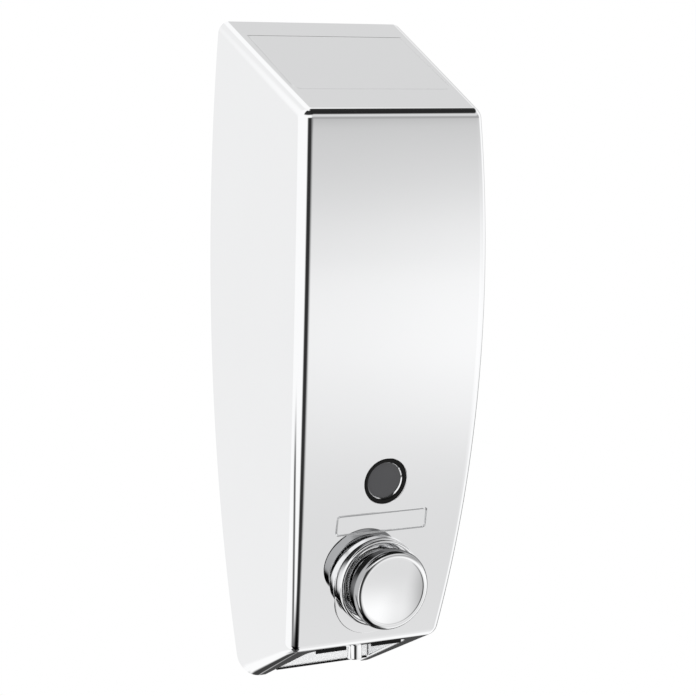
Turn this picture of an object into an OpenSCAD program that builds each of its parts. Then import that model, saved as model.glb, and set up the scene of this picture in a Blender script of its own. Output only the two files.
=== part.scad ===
// Wall-mounted soap dispenser with a push button pump, in millimetres.
// x runs to the right, y into the wall and z up. The wall is the plane y = 0.

/* [Body] */
// Overall height
body_h = 216; // [200:1:240]
// Widest width, at the wall
body_w = 74; // [68:1:86]
// Deepest reach of the front panel from the wall
body_d = 58; // [54:1:68]
// Radius of the upright bow of each side
side_bow_r = 925; // [700:5:1500]
// Radius of the upright bow of the front panel
front_bow_r = 472; // [420:2:800]
// Height of the widest level above the lowest point
widest_up = 133; // [120:1:145]
// Height of the deepest level above the lowest point
deepest_up = 155; // [145:1:165]
// Lean of each side towards the middle at the front, in degrees
draft = 4.06; // [3:0.02:5]
// Fall of the top towards the front, in degrees
top_slope = 26.3; // [24:0.1:29]
// Rise of the bottom towards the front, in degrees
bottom_slope = 25.3; // [23:0.1:28]
// Radius of the long outer edges
edge_r = 3.5; // [2.5:0.1:4.2]
// Radius of the two lower corners at the wall
foot_r = 7.5; // [5:0.1:9]
// Thickness of the shell's sides and front
wall_t = 2.4; // [2:0.1:3]
// Thickness of the roof around the lid
roof_t = 6.6; // [6.2:0.1:8]
// Thickness of the bottom
floor_t = 4.5; // [4:0.1:6]
// Width of the notch in the bottom
notch_w = 35; // [28:0.5:38]
// Distance from the lower front edge back to the notch
notch_set = 5.4; // [4:0.1:9]

/* [Lid] */
// Width of the lid
lid_w = 55; // [46:0.5:57]
// Length of the lid down the slope
lid_len = 38; // [34:0.5:44]
// Thickness of the lid
lid_t = 2.4; // [2:0.1:2.6]
// Distance from the top edge at the wall to the lid
lid_back = 10.5; // [9:0.1:12]
// Gap around the lid
lid_gap = 0.3; // [0.2:0.05:0.5]
// Thickness of the lid seal
lid_seal_t = 0.8; // [0.6:0.05:1]
// Radius of the lid's hinge pin
lid_pin_r = 0.8; // [0.6:0.05:1]

/* [Window and label] */
// Height of the window above the lowest point
window_up = 72.6; // [70:0.2:80]
// Radius of the window's hole
window_r = 7.45; // [6:0.05:8.5]
// Width of the window's black ring
window_ring = 1.3; // [1:0.1:2]
// Height of the label field above the lowest point
label_up = 59.2; // [58.4:0.1:60]
// Width of the label field
label_w = 32; // [24:0.5:36]
// Height of the label field
label_h = 6.6; // [5:0.1:7]
// Depth of the label recess
label_deep = 0.5; // [0.4:0.05:0.8]

/* [Button] */
// Height of the button's axis above the lowest point, at the panel
button_up = 39.7; // [39:0.1:41]
// Downward tilt of the button's axis, in degrees
button_tilt = 6; // [5:0.1:8]
// Radius of the button cap
cap_r = 13.05; // [12:0.05:13.3]
// Reach of the cap's rim from the panel
cap_out = 12.3; // [12:0.1:13.5]
// Depth of the dish in the cap's face
dish = 1.3; // [0.8:0.1:1.8]
// Travel of the button
stroke = 5; // [4:0.1:5.4]
// Reach of the collar from the panel
collar_out = 4; // [3.6:0.1:4.4]
// Radius of the boss behind the panel that the pump bears on
seat_r = 16.6; // [16.4:0.1:17.2]
// Radius of the thin pad under the collar
pad_r = 13.6; // [13:0.1:14.2]
// Distance from the button's axis down to the pad's middle
pad_fall = 5.1; // [4:0.1:6]
// Height of the pad above the panel
pad_out = 0.45; // [0.3:0.05:0.6]

/* [Pump] */
// Radius of the pump's bore
bore_r = 6; // [5:0.1:6.4]
// Thickness of the pump's wall
pump_t = 1.8; // [1.5:0.1:2.2]
// Radius of the piston rod
rod_r = 2.4; // [2:0.1:2.6]
// Length of the piston
piston_len = 5; // [4.6:0.1:5.4]
// Wire diameter of the return spring
return_wire = 0.9; // [0.7:0.05:1]
// Turns of the return spring
return_turns = 4; // [3:1:4]
// Radius of the valve balls
ball_r = 2; // [1.8:0.05:2.1]
// Lift of the inlet ball
inlet_lift = 1.4; // [1:0.1:1.6]
// Travel of the outlet ball
outlet_lift = 1.2; // [0.8:0.1:1.4]
// Wire diameter of the outlet spring
outlet_wire = 0.4; // [0.35:0.05:0.5]
// Radius of the nozzle's tip
nozzle_r = 2.4; // [2:0.1:2.6]
// Drop of the nozzle's tip below the lower front edge
nozzle_drop = 6.4; // [5:0.1:8]

/* [Tank and rear] */
// Thickness of the tank's wall
tank_t = 1.6; // [1.2:0.1:2]
// Thickness of the rear cover
cover_t = 2; // [1.6:0.1:2.2]
// Distance from the wall to the rear cover
cover_set = 4; // [3.8:0.1:4.4]
// Radius of the rear cover's screws
cover_screw_r = 1.5; // [1.2:0.05:1.7]

/* [Bracket] */
// Width of the wall bracket
bracket_w = 42; // [36:1:46]
// Height of the wall bracket
bracket_h = 112; // [104:1:124]
// Thickness of the wall bracket
bracket_t = 2.6; // [2.4:0.1:3]
// Height of each hook's rest above and below the middle
hook_z = 34; // [30:0.5:36]
// Width of each hook
hook_w = 20; // [14:0.5:24]
// Height of each hook's lip
hook_lip = 7; // [5:0.1:8]
// Distance between the two wall screw holes
screw_space = 28; // [22:1:32]
// Radius of the wall screw holes
screw_r = 2.2; // [1.8:0.1:2.6]
// Thickness of the adhesive pads
pad_t = 1; // [0.8:0.1:1.2]

/* [Hidden] */
$fn = 64;
big = 400;
top_z = body_h / 2;
low_z = -body_h / 2;
widest_z = low_z + widest_up;
deepest_z = low_z + deepest_up;
lean = tan(draft);
knee_r = edge_r + 0.7;
bow_mid = [body_d - front_bow_r, deepest_z];

// Half width at the wall, front reach and front tilt at a height
function half_w(z) = body_w / 2 - side_bow_r + sqrt(pow(side_bow_r, 2) - pow(z - widest_z, 2));
function reach(z) = bow_mid[0] + sqrt(pow(front_bow_r, 2) - pow(z - deepest_z, 2));
function tilt(z) = asin((deepest_z - z) / front_bow_r);

// The same side and front, pulled in by a distance
function side_in(z, d) = body_w / 2 * cos(draft) - side_bow_r
    + sqrt(pow(side_bow_r - d, 2) - pow(z - widest_z, 2));
function reach_in(z, d) = bow_mid[0] + sqrt(pow(front_bow_r - d, 2) - pow(z - deepest_z, 2));
bow_steps = 24;
levels = [for (i = [0:bow_steps]) low_z - 8 + (body_h + 16) * i / bow_steps];

// Centre of the rounding between the front bow and a slope, up = 1 for the top and -1 for the bottom
function across(a, up) = [sin(a), up * cos(a)];
function along(a, up) = [cos(a), -up * sin(a)];
function knee_q(a, up) = top_z * cos(a) - knee_r - across(a, up) * bow_mid;
function knee(a, up) = bow_mid + knee_q(a, up) * across(a, up)
    + sqrt(pow(front_bow_r - knee_r, 2) - pow(knee_q(a, up), 2)) * along(a, up);
knee_top = knee(top_slope, 1);
knee_low = knee(bottom_slope, -1);
run_top = (knee_top - [0, top_z]) * along(top_slope, 1);
run_low = (knee_low - [0, low_z]) * along(bottom_slope, -1);
turn_top = atan2(knee_top[1] - bow_mid[1], knee_top[0] - bow_mid[0]);
turn_low = atan2(knee_low[1] - bow_mid[1], knee_low[0] - bow_mid[0]);

// Rows of the outer skin from the top at the wall, over the front, to the bottom at the wall:
// each is [point on the side profile, outward direction, edge radius]
function dir(a) = [cos(a), sin(a)];
slope_rows = 6;
knee_rows = 5;
bow_rows = 22;
top_rows = [for (i = [1:slope_rows]) let (t = run_top * i / slope_rows)
    [[0, top_z] + t * along(top_slope, 1), across(top_slope, 1), edge_r]];
knee_top_rows = [for (i = [1:knee_rows]) let (a = 90 - top_slope + (turn_top - 90 + top_slope) * i / knee_rows)
    [knee_top + knee_r * dir(a), dir(a), edge_r]];
front_rows = [for (i = [1:bow_rows]) let (a = turn_top + (turn_low - turn_top) * i / bow_rows)
    [bow_mid + front_bow_r * dir(a), dir(a), edge_r]];
knee_low_rows = [for (i = [1:knee_rows]) let (a = turn_low + (bottom_slope - 90 - turn_low) * i / knee_rows)
    [knee_low + knee_r * dir(a), dir(a), edge_r]];
low_rows = [for (i = [1:slope_rows - 1]) let (t = run_low * (1 - i / slope_rows))
    [[0, low_z] + t * along(bottom_slope, -1), across(bottom_slope, -1),
     edge_r + (foot_r - edge_r) * i / slope_rows]];
rows = concat(top_rows, knee_top_rows, front_rows, knee_low_rows, low_rows);
steps = 6;
function skin_at(b, n, r, j) = let (s = r * (1 - cos(90 * j / steps)), p = b - s * n)
    [half_w(p[1]) - lean * p[0] - r * (1 - sin(90 * j / steps)), -p[0], p[1]];
function skin_end(a, up, r, j) = let (s = r * (1 - cos(90 * j / steps)))
    skin_at([0, up * top_z] + s * tan(a) * along(a, up), across(a, up), r, j);
right_skin = concat(
    [[for (j = [0:steps]) skin_end(top_slope, 1, edge_r, j)]],
    [for (w = rows) [for (j = [0:steps]) skin_at(w[0], w[1], w[2], j)]],
    [[for (j = [0:steps]) skin_end(bottom_slope, -1, foot_r, j)]]);
last = len(right_skin) - 1;
wide = steps + 1;
half = (last + 1) * wide;
right_points = [for (w = right_skin) for (p = w) p];
back_points = [for (i = [1:last - 1]) let (z = right_skin[i][steps][2]) [half_w(z), 0, z]];
skin_points = concat(right_points, back_points,
    [for (p = right_points) [-p[0], p[1], p[2]]], [for (p = back_points) [-p[0], p[1], p[2]]]);
other = half + last - 1;
function at(i, j) = i * wide + j;
function rear(i) = half + i - 1;
side_faces = concat(
    [for (i = [0:last - 1]) for (j = [0:steps - 1]) [at(i, j), at(i + 1, j), at(i + 1, j + 1)]],
    [for (i = [0:last - 1]) for (j = [0:steps - 1]) [at(i, j), at(i + 1, j + 1), at(i, j + 1)]],
    [[at(0, steps), at(1, steps), rear(1)]],
    [for (i = [1:last - 2]) [at(i, steps), at(i + 1, steps), rear(i + 1), rear(i)]],
    [[at(last - 1, steps), at(last, steps), rear(last - 1)]]);
half_loop = concat([for (j = [0:steps]) at(0, j)], [for (i = [1:last - 1]) rear(i)],
    [for (j = [steps:-1:0]) at(last, j)]);
front_faces = [for (i = [0:last - 1]) [at(i, 0), at(i + 1, 0), other + at(i + 1, 0), other + at(i, 0)]];
back_faces = [for (i = [0:len(half_loop) - 2])
    [half_loop[i + 1], half_loop[i], other + half_loop[i], other + half_loop[i + 1]]];
function flip(f) = [for (i = [len(f) - 1:-1:0]) f[i]];
function thirds(list) = [for (f = list) for (i = [2:len(f) - 1]) [f[0], f[i - 1], f[i]]];
skin_faces = thirds(concat(
    [for (f = side_faces) flip(f)], [for (f = side_faces) [for (v = f) other + v]], front_faces, back_faces));

// Places of the window, label and button on the front panel
window_z = low_z + window_up;
label_z = low_z + label_up;
button_z = low_z + button_up;
button_d = reach(button_z);

// Button and collar
cap_neck_r = cap_r - 1.85;
neck_bore = cap_neck_r + 0.8;
neck_r = neck_bore + 1.2;
collar_r = neck_r + 1.1;
collar_round = 0.9;
cap_tail = -1;
neck_out = collar_out - 2.8;
collar_floor = neck_out + 0.65;
cap_low = collar_floor + stroke + 0.15;
cap_round = 2;
seat_out = 0.4;
panel_lean = tilt(button_z) - button_tilt;
seat_in = -wall_t / cos(panel_lean) - seat_r * tan(panel_lean) - pow(seat_r, 2) / (2 * front_bow_r) - 0.15;
panel_gasket_t = 1.2;
flange_t = 2.2;
flange_r = seat_r - 0.2;
neck_floor = cap_tail - stroke - 1;
neck_floor_t = 2;
dish_a = cap_r - cap_round;
dish_r = (dish_a * dish_a + dish * dish) / (2 * dish);

// Pump along its axis, and the valve column through it
cover_front = cover_set + cover_t;
pump_rear = -(button_d - cover_front - 3.2) / cos(button_tilt);
cap_end_t = 2.4;
chamber_end = pump_rear + cap_end_t;
piston_front = neck_floor - neck_floor_t - 0.05;
piston_back = piston_front - piston_len;
pump_r = bore_r + pump_t;
plug_t = 1.6;
valve_s = chamber_end + plug_t + 4.6;
valve_d = button_d + valve_s * cos(button_tilt);
valve_mid = button_z - valve_s * sin(button_tilt);
bore_half = bore_r / cos(button_tilt);
tank_z = window_z - window_r - 1.2;
ball_hole = 0.7 * ball_r;
seat_hole = 0.75 * ball_r;
ball_way = ball_r + 0.6;
inlet_ledge = valve_mid + bore_half + 0.95;
inlet_ball_z = inlet_ledge + sqrt(pow(ball_r, 2) - pow(ball_hole, 2)) + 0.03;
inlet_seat_z = inlet_ball_z + inlet_lift + sqrt(pow(ball_r, 2) - pow(seat_hole, 2)) + 0.05;
inlet_seat_t = 1.4;
spigot_r = 4.5;
socket_r = 5.5;
inlet_r = 7;
valve_r = ball_way + 1.7;
outlet_seat_z = valve_mid - bore_half - 2.1;
outlet_ball_z = outlet_seat_z - sqrt(pow(ball_r, 2) - pow(seat_hole, 2)) - 0.05;
outlet_coil_r = 0.65 * ball_r;
outlet_coil_top = outlet_ball_z - sqrt(pow(ball_r, 2) - pow(outlet_coil_r, 2)) - outlet_wire / 2 - 0.05;
outlet_coil_len = 4;
elbow_z = outlet_coil_top - outlet_coil_len;
outlet_r = ball_way + 2.2;
outlet_end = elbow_z - 1.6;
duct_w = 6.6;
duct_half = 2.35;
duct_bore = 1.4;
lip_z = knee_low[1];
lip_d = knee_low[0] + knee_r;
notch_d = lip_d - notch_set;
nozzle_d = notch_d - nozzle_r - 0.9;
level_z = outlet_end - 0.05 - duct_half;
drop_z = level_z - duct_half;
nozzle_z = lip_z - knee_r * cos(bottom_slope) - nozzle_drop;
nozzle_top_r = nozzle_r + 0.5;

// Lid places, on the slope
pin_y = -lid_back - lid_t;
lid_end = -lid_back - lid_len;
mouth_back = pin_y - lid_t - 3.4;
mouth_front = lid_end + 4;
mouth_w = lid_w - 8;
pocket_t = lid_t + lid_seal_t;

// Tank, cover and bracket places
tank_gap = 0.5;
tank_front = wall_t + 3.4;
tank_d = cover_front + 3.6;
boss_z = button_z - 5;
boss_x = half_w(boss_z) - wall_t - 4.6;
boss_r = cover_screw_r + 1.9;
boss_len = 9;
tongue_w = 40;
roof_under = top_z - (cover_set + cover_t / 2) * tan(top_slope) - roof_t / cos(top_slope);
tongue = 1.4;
slot_w = hook_w + 3;
slot_h = hook_lip + 4.5;
hook_t = 3;
lip_t = 2;
lip_y = cover_front + 0.4;
pad_w = bracket_w - 8;
pad_h = bracket_h / 2 - 24;
pad_mid = 20 + pad_h / 2;

// Smallest gap between neighbouring turns of each coil
return_len = piston_back - chamber_end - plug_t - 0.1;
return_pitch = (return_len - return_wire) / return_turns;
outlet_turns = 4;
outlet_pitch = (outlet_coil_len - outlet_wire) / outlet_turns;
echo(return_spring_gap = return_pitch - return_wire, outlet_spring_gap = outlet_pitch - outlet_wire);

// Frames: square to the front panel at a height, along the button's axis, on the top slope
module on_panel(z) {
    translate([0, -reach(z), z])
        rotate([90 + tilt(z), 0, 0])
            children();
}

module on_button() {
    translate([0, -button_d, button_z])
        rotate([90 + button_tilt, 0, 0])
            children();
}

module on_slope() {
    translate([0, 0, top_z])
        rotate([top_slope, 0, 0])
            children();
}

// Straight tube or rod between two levels
module rod(r, z0, z1) {
    translate([0, 0, z0])
        cylinder(r = r, h = z1 - z0);
}

module ring(r, hole, z0, z1) {
    difference() {
        rod(r, z0, z1);
        rod(hole, z0 - 1, z1 + 1);
    }
}

// Rectangle with round corners
module round_rect(w, h, r) {
    square([w - 2 * r, h], center = true);
    square([w, h - 2 * r], center = true);
    for (x = [-1, 1])
        for (y = [-1, 1])
            translate([x * (w / 2 - r), y * (h / 2 - r)])
                circle(r = r);
}

// Box between two corners
module box(a, b) {
    translate(a)
        cube(b - a);
}

// One coil along z as a single swept wire
module coil(r, wire, len, turns) {
    n = turns * 8;
    pts = [for (i = [0:n]) for (k = [0:5]) let (a = 45 * i, c = 60 * k, q = r + wire / 2 * cos(c))
        [q * cos(a), q * sin(a), wire / 2 + (len - wire) * i / n + wire / 2 * sin(c)]];
    sides = [for (i = [0:n - 1]) for (k = [0:5]) let (m = (k + 1) % 6)
        [6 * i + k, 6 * i + 6 + k, 6 * i + 6 + m, 6 * i + m]];
    tri = concat([for (f = sides) [f[0], f[1], f[2]]], [for (f = sides) [f[0], f[2], f[3]]]);
    polyhedron(pts, concat(tri, [[0, 1, 2, 3, 4, 5]], [[for (k = [5:-1:0]) 6 * n + k]]), convexity = 8);
}

// The body's plain form, pulled in from its sides, front, roof and floor
module form(side, front, roof, floor) {
    intersection() {
        bowed_side(1, side);
        bowed_side(-1, side);
        rotate([90, 0, 90])
            linear_extrude(big, center = true)
                polygon(concat([[big, levels[0]]], [for (z = levels) [-reach_in(z, front), z]],
                    [[big, levels[bow_steps]]]));
        on_slope()
            box([-big / 2, -big, -big], [big / 2, big, -roof]);
        translate([0, 0, low_z])
            rotate([-bottom_slope, 0, 0])
                box([-big / 2, -big, floor], [big / 2, big, big]);
    }
}

module bowed_side(s, side) {
    rotate([0, 0, -s * draft])
        rotate([90, 0, 0])
            linear_extrude(big, center = true)
                polygon(concat([[-s * big, levels[0]]], [for (z = levels) [s * side_in(z, side), z]],
                    [[-s * big, levels[bow_steps]]]));
}

module wall_bracket() {
    color([0.85, 0.86, 0.87])
    difference() {
        union() {
            rotate([90, 0, 0])
                linear_extrude(bracket_t)
                    round_rect(bracket_w, bracket_h, 4);
            for (z = [-hook_z, hook_z]) {
                box([-hook_w / 2, -lip_y - lip_t, z - hook_t], [hook_w / 2, -bracket_t + 0.5, z - 0.02]);
                box([-hook_w / 2, -lip_y - lip_t, z - hook_t], [hook_w / 2, -lip_y, z + hook_lip]);
            }
        }
        for (z = [-1, 1]) {
            translate([0, 1, z * screw_space / 2])
                rotate([90, 0, 0])
                    cylinder(r = screw_r, h = bracket_t + 2);
            translate([0, -bracket_t + 1, z * screw_space / 2])
                rotate([90, 0, 0])
                    cylinder(r1 = screw_r, r2 = screw_r + 2, h = 2);
            translate([0, 1, z * pad_mid])
                rotate([90, 0, 0])
                    linear_extrude(pad_t + 1)
                        round_rect(pad_w + 0.3, pad_h + 0.3, 2.15);
        }
    }
}

module adhesive_pads() {
    color([0.2, 0.2, 0.21])
    for (z = [-1, 1])
        translate([0, 0, z * pad_mid])
            rotate([90, 0, 0])
                linear_extrude(pad_t)
                    round_rect(pad_w, pad_h, 2);
}

module housing() {
    color([0.86, 0.87, 0.88])
    difference() {
        union() {
            difference() {
                polyhedron(skin_points, skin_faces, convexity = 6);
                form(wall_t, wall_t, roof_t, floor_t);
            }
            on_button()
                rod(collar_r - 0.05, seat_in, seat_out);
            on_panel(button_z - pad_fall)
                rod(pad_r, -1, pad_out);
            intersection() {
                form(wall_t / 2, wall_t / 2, roof_t, floor_t);
                union() {
                    on_button()
                        rod(seat_r, seat_in, 8);
                    for (s = [-1, 1]) {
                        translate([s * boss_x, -cover_front - 0.05, boss_z])
                            rotate([90, 0, 0])
                                cylinder(r = boss_r, h = boss_len);
                        translate([s * (boss_x + 10) - 10, -cover_front - 0.05 - boss_len, boss_z - 1.2])
                            cube([20, boss_len, 2.4]);
                        translate([s * (half_w(tank_z) + 5) - 15, -tank_d - 24, tank_z - 2.4])
                            cube([30, 20, 2.35]);
                    }
                }
            }
        }
        // lid's pocket, hinge and mouth
        on_slope() {
            translate([0, (lid_end - lid_back) / 2, -pocket_t])
                linear_extrude(big) {
                    round_rect(lid_w + 2 * lid_gap, lid_len + 2 * lid_gap, 3);
                    translate([-lid_w / 2 - lid_gap, 0])
                        square([lid_w + 2 * lid_gap, lid_len / 2 + lid_gap]);
                }
            translate([-lid_w / 2 - lid_gap, pin_y, -lid_t])
                rotate([0, 90, 0])
                    cylinder(r = lid_t + lid_gap, h = lid_w + 2 * lid_gap);
            translate([-lid_w / 2 - 2.6, pin_y, -lid_t])
                rotate([0, 90, 0])
                    cylinder(r = lid_pin_r + 0.05, h = lid_w + 5.2);
            translate([0, (mouth_back + mouth_front) / 2, -roof_t - 4])
                linear_extrude(roof_t + 4)
                    round_rect(mouth_w, mouth_back - mouth_front, 3);
        }
        // groove for the rear cover's tongue
        box([-tongue_w / 2 - 0.4, -cover_front - 0.25, roof_under - 6],
            [tongue_w / 2 + 0.4, -cover_set + 0.25, roof_under + tongue + 0.4]);
        // window, label recess and button hole
        on_panel(window_z)
            rod(window_r, -12, 12);
        on_panel(label_z)
            translate([0, 0, -label_deep])
                linear_extrude(10)
                    round_rect(label_w, label_h, 1);
        on_button() {
            rod(neck_r + 0.1, seat_in - 6, 20);
            rod(collar_r + 0.15, seat_out, 20);
        }
        // screw pilots and the notch in the bottom
        for (s = [-1, 1])
            translate([s * boss_x, 0, boss_z])
                rotate([90, 0, 0])
                    cylinder(r = cover_screw_r + 0.05, h = cover_front + boss_len - 1.5);
        translate([0, 0, low_z - 5])
            linear_extrude(body_h / 4) {
                translate([0, -notch_d / 2])
                    round_rect(notch_w, notch_d, 3);
                translate([-notch_w / 2, -notch_d / 2])
                    square([notch_w, notch_d]);
            }
    }
}

module rear_cover() {
    color([0.9, 0.91, 0.92])
    difference() {
        union() {
            intersection() {
                form(wall_t + 0.25, 0, roof_t + 0.3, floor_t + 0.3);
                box([-big, -cover_front, -big], [big, -cover_set, big]);
            }
            intersection() {
                form(wall_t, 0, roof_t, 0.5);
                box([-notch_w / 2 + 0.3, -cover_front, low_z], [notch_w / 2 - 0.3, -cover_set, low_z + 20]);
            }
            box([-tongue_w / 2, -cover_front, roof_under - 6], [tongue_w / 2, -cover_set, roof_under + tongue]);
        }
        for (z = [-hook_z, hook_z])
            box([-slot_w / 2, -cover_front - 1, z - slot_h], [slot_w / 2, -cover_set + 1, z]);
        for (s = [-1, 1])
            translate([s * boss_x, -cover_set + 0.01, boss_z])
                rotate([90, 0, 0]) {
                    cylinder(r = cover_screw_r + 0.2, h = cover_t + 1);
                    cylinder(r1 = 2 * cover_screw_r + 0.1, r2 = cover_screw_r + 0.2, h = cover_t - 0.5);
                }
    }
}

module cover_screws() {
    color([0.7, 0.7, 0.72])
    for (s = [-1, 1])
        translate([s * boss_x, -cover_set, boss_z])
            rotate([90, 0, 0])
                difference() {
                    union() {
                        cylinder(r1 = 2 * cover_screw_r, r2 = cover_screw_r, h = cover_t - 0.5);
                        cylinder(r = cover_screw_r, h = cover_t + boss_len - 2);
                    }
                    for (a = [0, 90])
                        rotate([0, 0, a])
                            box([-cover_screw_r, -0.3, -1], [cover_screw_r, 0.3, 0.8]);
                }
}

module soap_tank() {
    color([0.9, 0.93, 0.95, 0.5])
    difference() {
        union() {
            intersection() {
                form(wall_t + tank_gap, tank_front, roof_t + tank_gap, 0);
                box([-big, -big, tank_z], [big, -tank_d, big]);
            }
            translate([0, -valve_d, 0])
                rod(spigot_r, inlet_seat_z + inlet_seat_t + 0.2, tank_z + 1);
        }
        intersection() {
            form(wall_t + tank_gap + tank_t, tank_front + tank_t, -10, 0);
            box([-big, -big, tank_z + 2], [big, -tank_d - tank_t, big]);
        }
        translate([0, -valve_d, 0])
            rod(spigot_r - 1.3, low_z, tank_z + 5);
    }
}

module tank_grommet() {
    color([0.15, 0.15, 0.16])
    translate([0, -valve_d, 0]) {
        ring(socket_r - 0.05, spigot_r + 0.05, inlet_seat_z + inlet_seat_t + 0.2, tank_z - 0.05);
        ring(inlet_r, spigot_r + 0.05, tank_z - 0.75, tank_z - 0.05);
    }
}

module lid() {
    color([0.86, 0.87, 0.88])
    on_slope()
        difference() {
            union() {
                intersection() {
                    translate([0, (lid_end - lid_back) / 2, -lid_t])
                        linear_extrude(lid_t)
                            round_rect(lid_w, lid_len, 2.7);
                    box([-lid_w, lid_end - 1, -lid_t], [lid_w, pin_y, 1]);
                }
                translate([-lid_w / 2, pin_y, -lid_t])
                    rotate([0, 90, 0])
                        cylinder(r = lid_t, h = lid_w);
            }
            translate([-lid_w, pin_y, -lid_t])
                rotate([0, 90, 0])
                    cylinder(r = lid_pin_r + 0.05, h = 2 * lid_w);
        }
}

module lid_seal() {
    color([0.15, 0.15, 0.16])
    on_slope()
        translate([0, 0, -pocket_t])
            linear_extrude(lid_seal_t - 0.05)
                difference() {
                    translate([0, (pin_y - lid_t - lid_gap + lid_end) / 2])
                        round_rect(lid_w - 1, pin_y - lid_t - lid_gap - lid_end - 1, 2.5);
                    translate([0, (mouth_back + mouth_front) / 2])
                        round_rect(mouth_w + 1, mouth_back - mouth_front + 1, 3.5);
                }
}

module lid_hinge_pin() {
    color([0.72, 0.73, 0.75])
    on_slope()
        translate([-lid_w / 2 - 2.4, pin_y, -lid_t])
            rotate([0, 90, 0])
                cylinder(r = lid_pin_r, h = lid_w + 4.8);
}

module window_lens() {
    color([0.2, 0.2, 0.21])
    on_panel(window_z)
        rod(window_r - window_ring - 0.05, -wall_t - 0.1, -0.7);
}

module window_gasket() {
    color([0.04, 0.04, 0.04])
    on_panel(window_z)
        ring(window_r - 0.05, window_r - window_ring, -wall_t - 0.1, -0.15);
}

module window_retainer() {
    color([0.1, 0.1, 0.1])
    on_panel(window_z)
        ring(window_r + 2.6, window_r - 2.2, -wall_t - 2.4, -wall_t - 0.18);
}

module label_strip() {
    color([0.84, 0.85, 0.86])
    on_panel(label_z)
        translate([0, 0, -label_deep])
            linear_extrude(label_deep - 0.05)
                round_rect(label_w - 0.4, label_h - 0.4, 0.8);
}

module button_collar() {
    color([0.86, 0.87, 0.88])
    on_button()
        difference() {
            rotate_extrude($fn = 96) {
                translate([collar_r - collar_round, collar_out - collar_round])
                    circle(r = collar_round);
                translate([0, seat_out])
                    square([collar_r, collar_out - collar_round - seat_out]);
                translate([0, seat_out])
                    square([collar_r - collar_round, collar_out - seat_out]);
            }
            rod(neck_bore - 0.05, -5, collar_out + 1);
            rod(neck_r + 0.05, -5, neck_out + 0.05);
            rod(cap_r + 0.1, collar_floor, collar_out + 1);
        }
}

module panel_gasket() {
    color([0.12, 0.12, 0.12])
    on_button()
        ring(flange_r, neck_r + 0.1, seat_in - panel_gasket_t + 0.02, seat_in - 0.02);
}

module pump_body() {
    color([0.93, 0.93, 0.92])
    difference() {
        union() {
            on_button() {
                rod(neck_r, neck_floor - neck_floor_t, neck_out);
                rod(flange_r, seat_in - panel_gasket_t - flange_t, seat_in - panel_gasket_t);
                rod(pump_r, chamber_end, neck_floor);
            }
            translate([0, -valve_d, 0]) {
                rod(valve_r, valve_mid, inlet_seat_z);
                rod(inlet_r, inlet_seat_z - 1.6, tank_z - 0.8);
                rod(outlet_r, outlet_end, valve_mid);
            }
        }
        on_button() {
            rod(neck_bore, neck_floor, neck_out + 1);
            rod(rod_r + 0.06, neck_floor - neck_floor_t - 1, neck_floor + 1);
            rod(bore_r, chamber_end - 1, neck_floor - neck_floor_t);
        }
        translate([0, -valve_d, 0]) {
            rod(socket_r, inlet_seat_z, tank_z);
            rod(ball_way, inlet_ledge, inlet_seat_z + 1);
            rod(ball_hole, valve_mid, inlet_ledge + 1);
            box([-0.5, -ball_way + 0.1, valve_mid], [0.5, ball_way - 0.1, inlet_ledge + 1]);
            rod(seat_hole, outlet_seat_z - 1, valve_mid);
            rod(ball_way, outlet_end - 1, outlet_seat_z);
        }
    }
}

module pump_end_cap() {
    color([0.88, 0.88, 0.87])
    on_button()
        difference() {
            union() {
                rod(pump_r, pump_rear, chamber_end - 0.8);
                rod(bore_r - 0.05, pump_rear, chamber_end + plug_t);
            }
            translate([0, 0, pump_rear - 1])
                cylinder(r = 3, h = 2, $fn = 6);
        }
}

module end_cap_seal() {
    color([0.12, 0.12, 0.12])
    on_button()
        ring(pump_r - 0.1, bore_r, chamber_end - 0.78, chamber_end - 0.02);
}

module inlet_seat() {
    color([0.2, 0.35, 0.55])
    translate([0, -valve_d, 0])
        ring(socket_r - 0.05, seat_hole, inlet_seat_z + 0.01, inlet_seat_z + inlet_seat_t);
}

module inlet_ball() {
    color([0.75, 0.76, 0.78])
    translate([0, -valve_d, inlet_ball_z])
        sphere(r = ball_r);
}

module outlet_ball() {
    color([0.75, 0.76, 0.78])
    translate([0, -valve_d, outlet_ball_z])
        sphere(r = ball_r);
}

module outlet_spring() {
    color([0.65, 0.66, 0.68])
    translate([0, -valve_d, elbow_z + 0.02])
        coil(outlet_coil_r, outlet_wire, outlet_coil_len - 0.02, outlet_turns);
}

module outlet_elbow() {
    color([0.9, 0.9, 0.9])
    difference() {
        union() {
            translate([0, 0, drop_z])
                linear_extrude(2 * duct_half) {
                    translate([-duct_w / 2, -nozzle_d])
                        square([duct_w, nozzle_d - valve_d]);
                    translate([0, -nozzle_d])
                        circle(r = duct_w / 2);
                    translate([0, -valve_d])
                        circle(r = duct_w / 2);
                }
            translate([0, -valve_d, 0])
                rod(ball_way - 0.04, level_z, elbow_z);
            translate([0, -nozzle_d, 0])
                rod(nozzle_r - 0.4, drop_z - 2.4, level_z);
        }
        translate([0, -valve_d, 0])
            rod(duct_bore, level_z - 0.4, elbow_z + 1);
        translate([0, -nozzle_d, 0])
            rod(duct_bore, drop_z - 3, level_z + 0.4);
        translate([0, -valve_d, level_z])
            rotate([90, 0, 0])
                rod(duct_bore - 0.1, 0, nozzle_d - valve_d);
    }
}

module nozzle() {
    color([0.86, 0.87, 0.88])
    translate([0, -nozzle_d, 0])
        difference() {
            union() {
                rod(nozzle_top_r, drop_z - 3.2, drop_z - 0.05);
                rod(nozzle_r, nozzle_z, drop_z - 1);
            }
            rod(nozzle_r - 0.36, drop_z - 2.5, drop_z + 1);
            rod(duct_bore, nozzle_z - 1, drop_z);
        }
}

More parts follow.
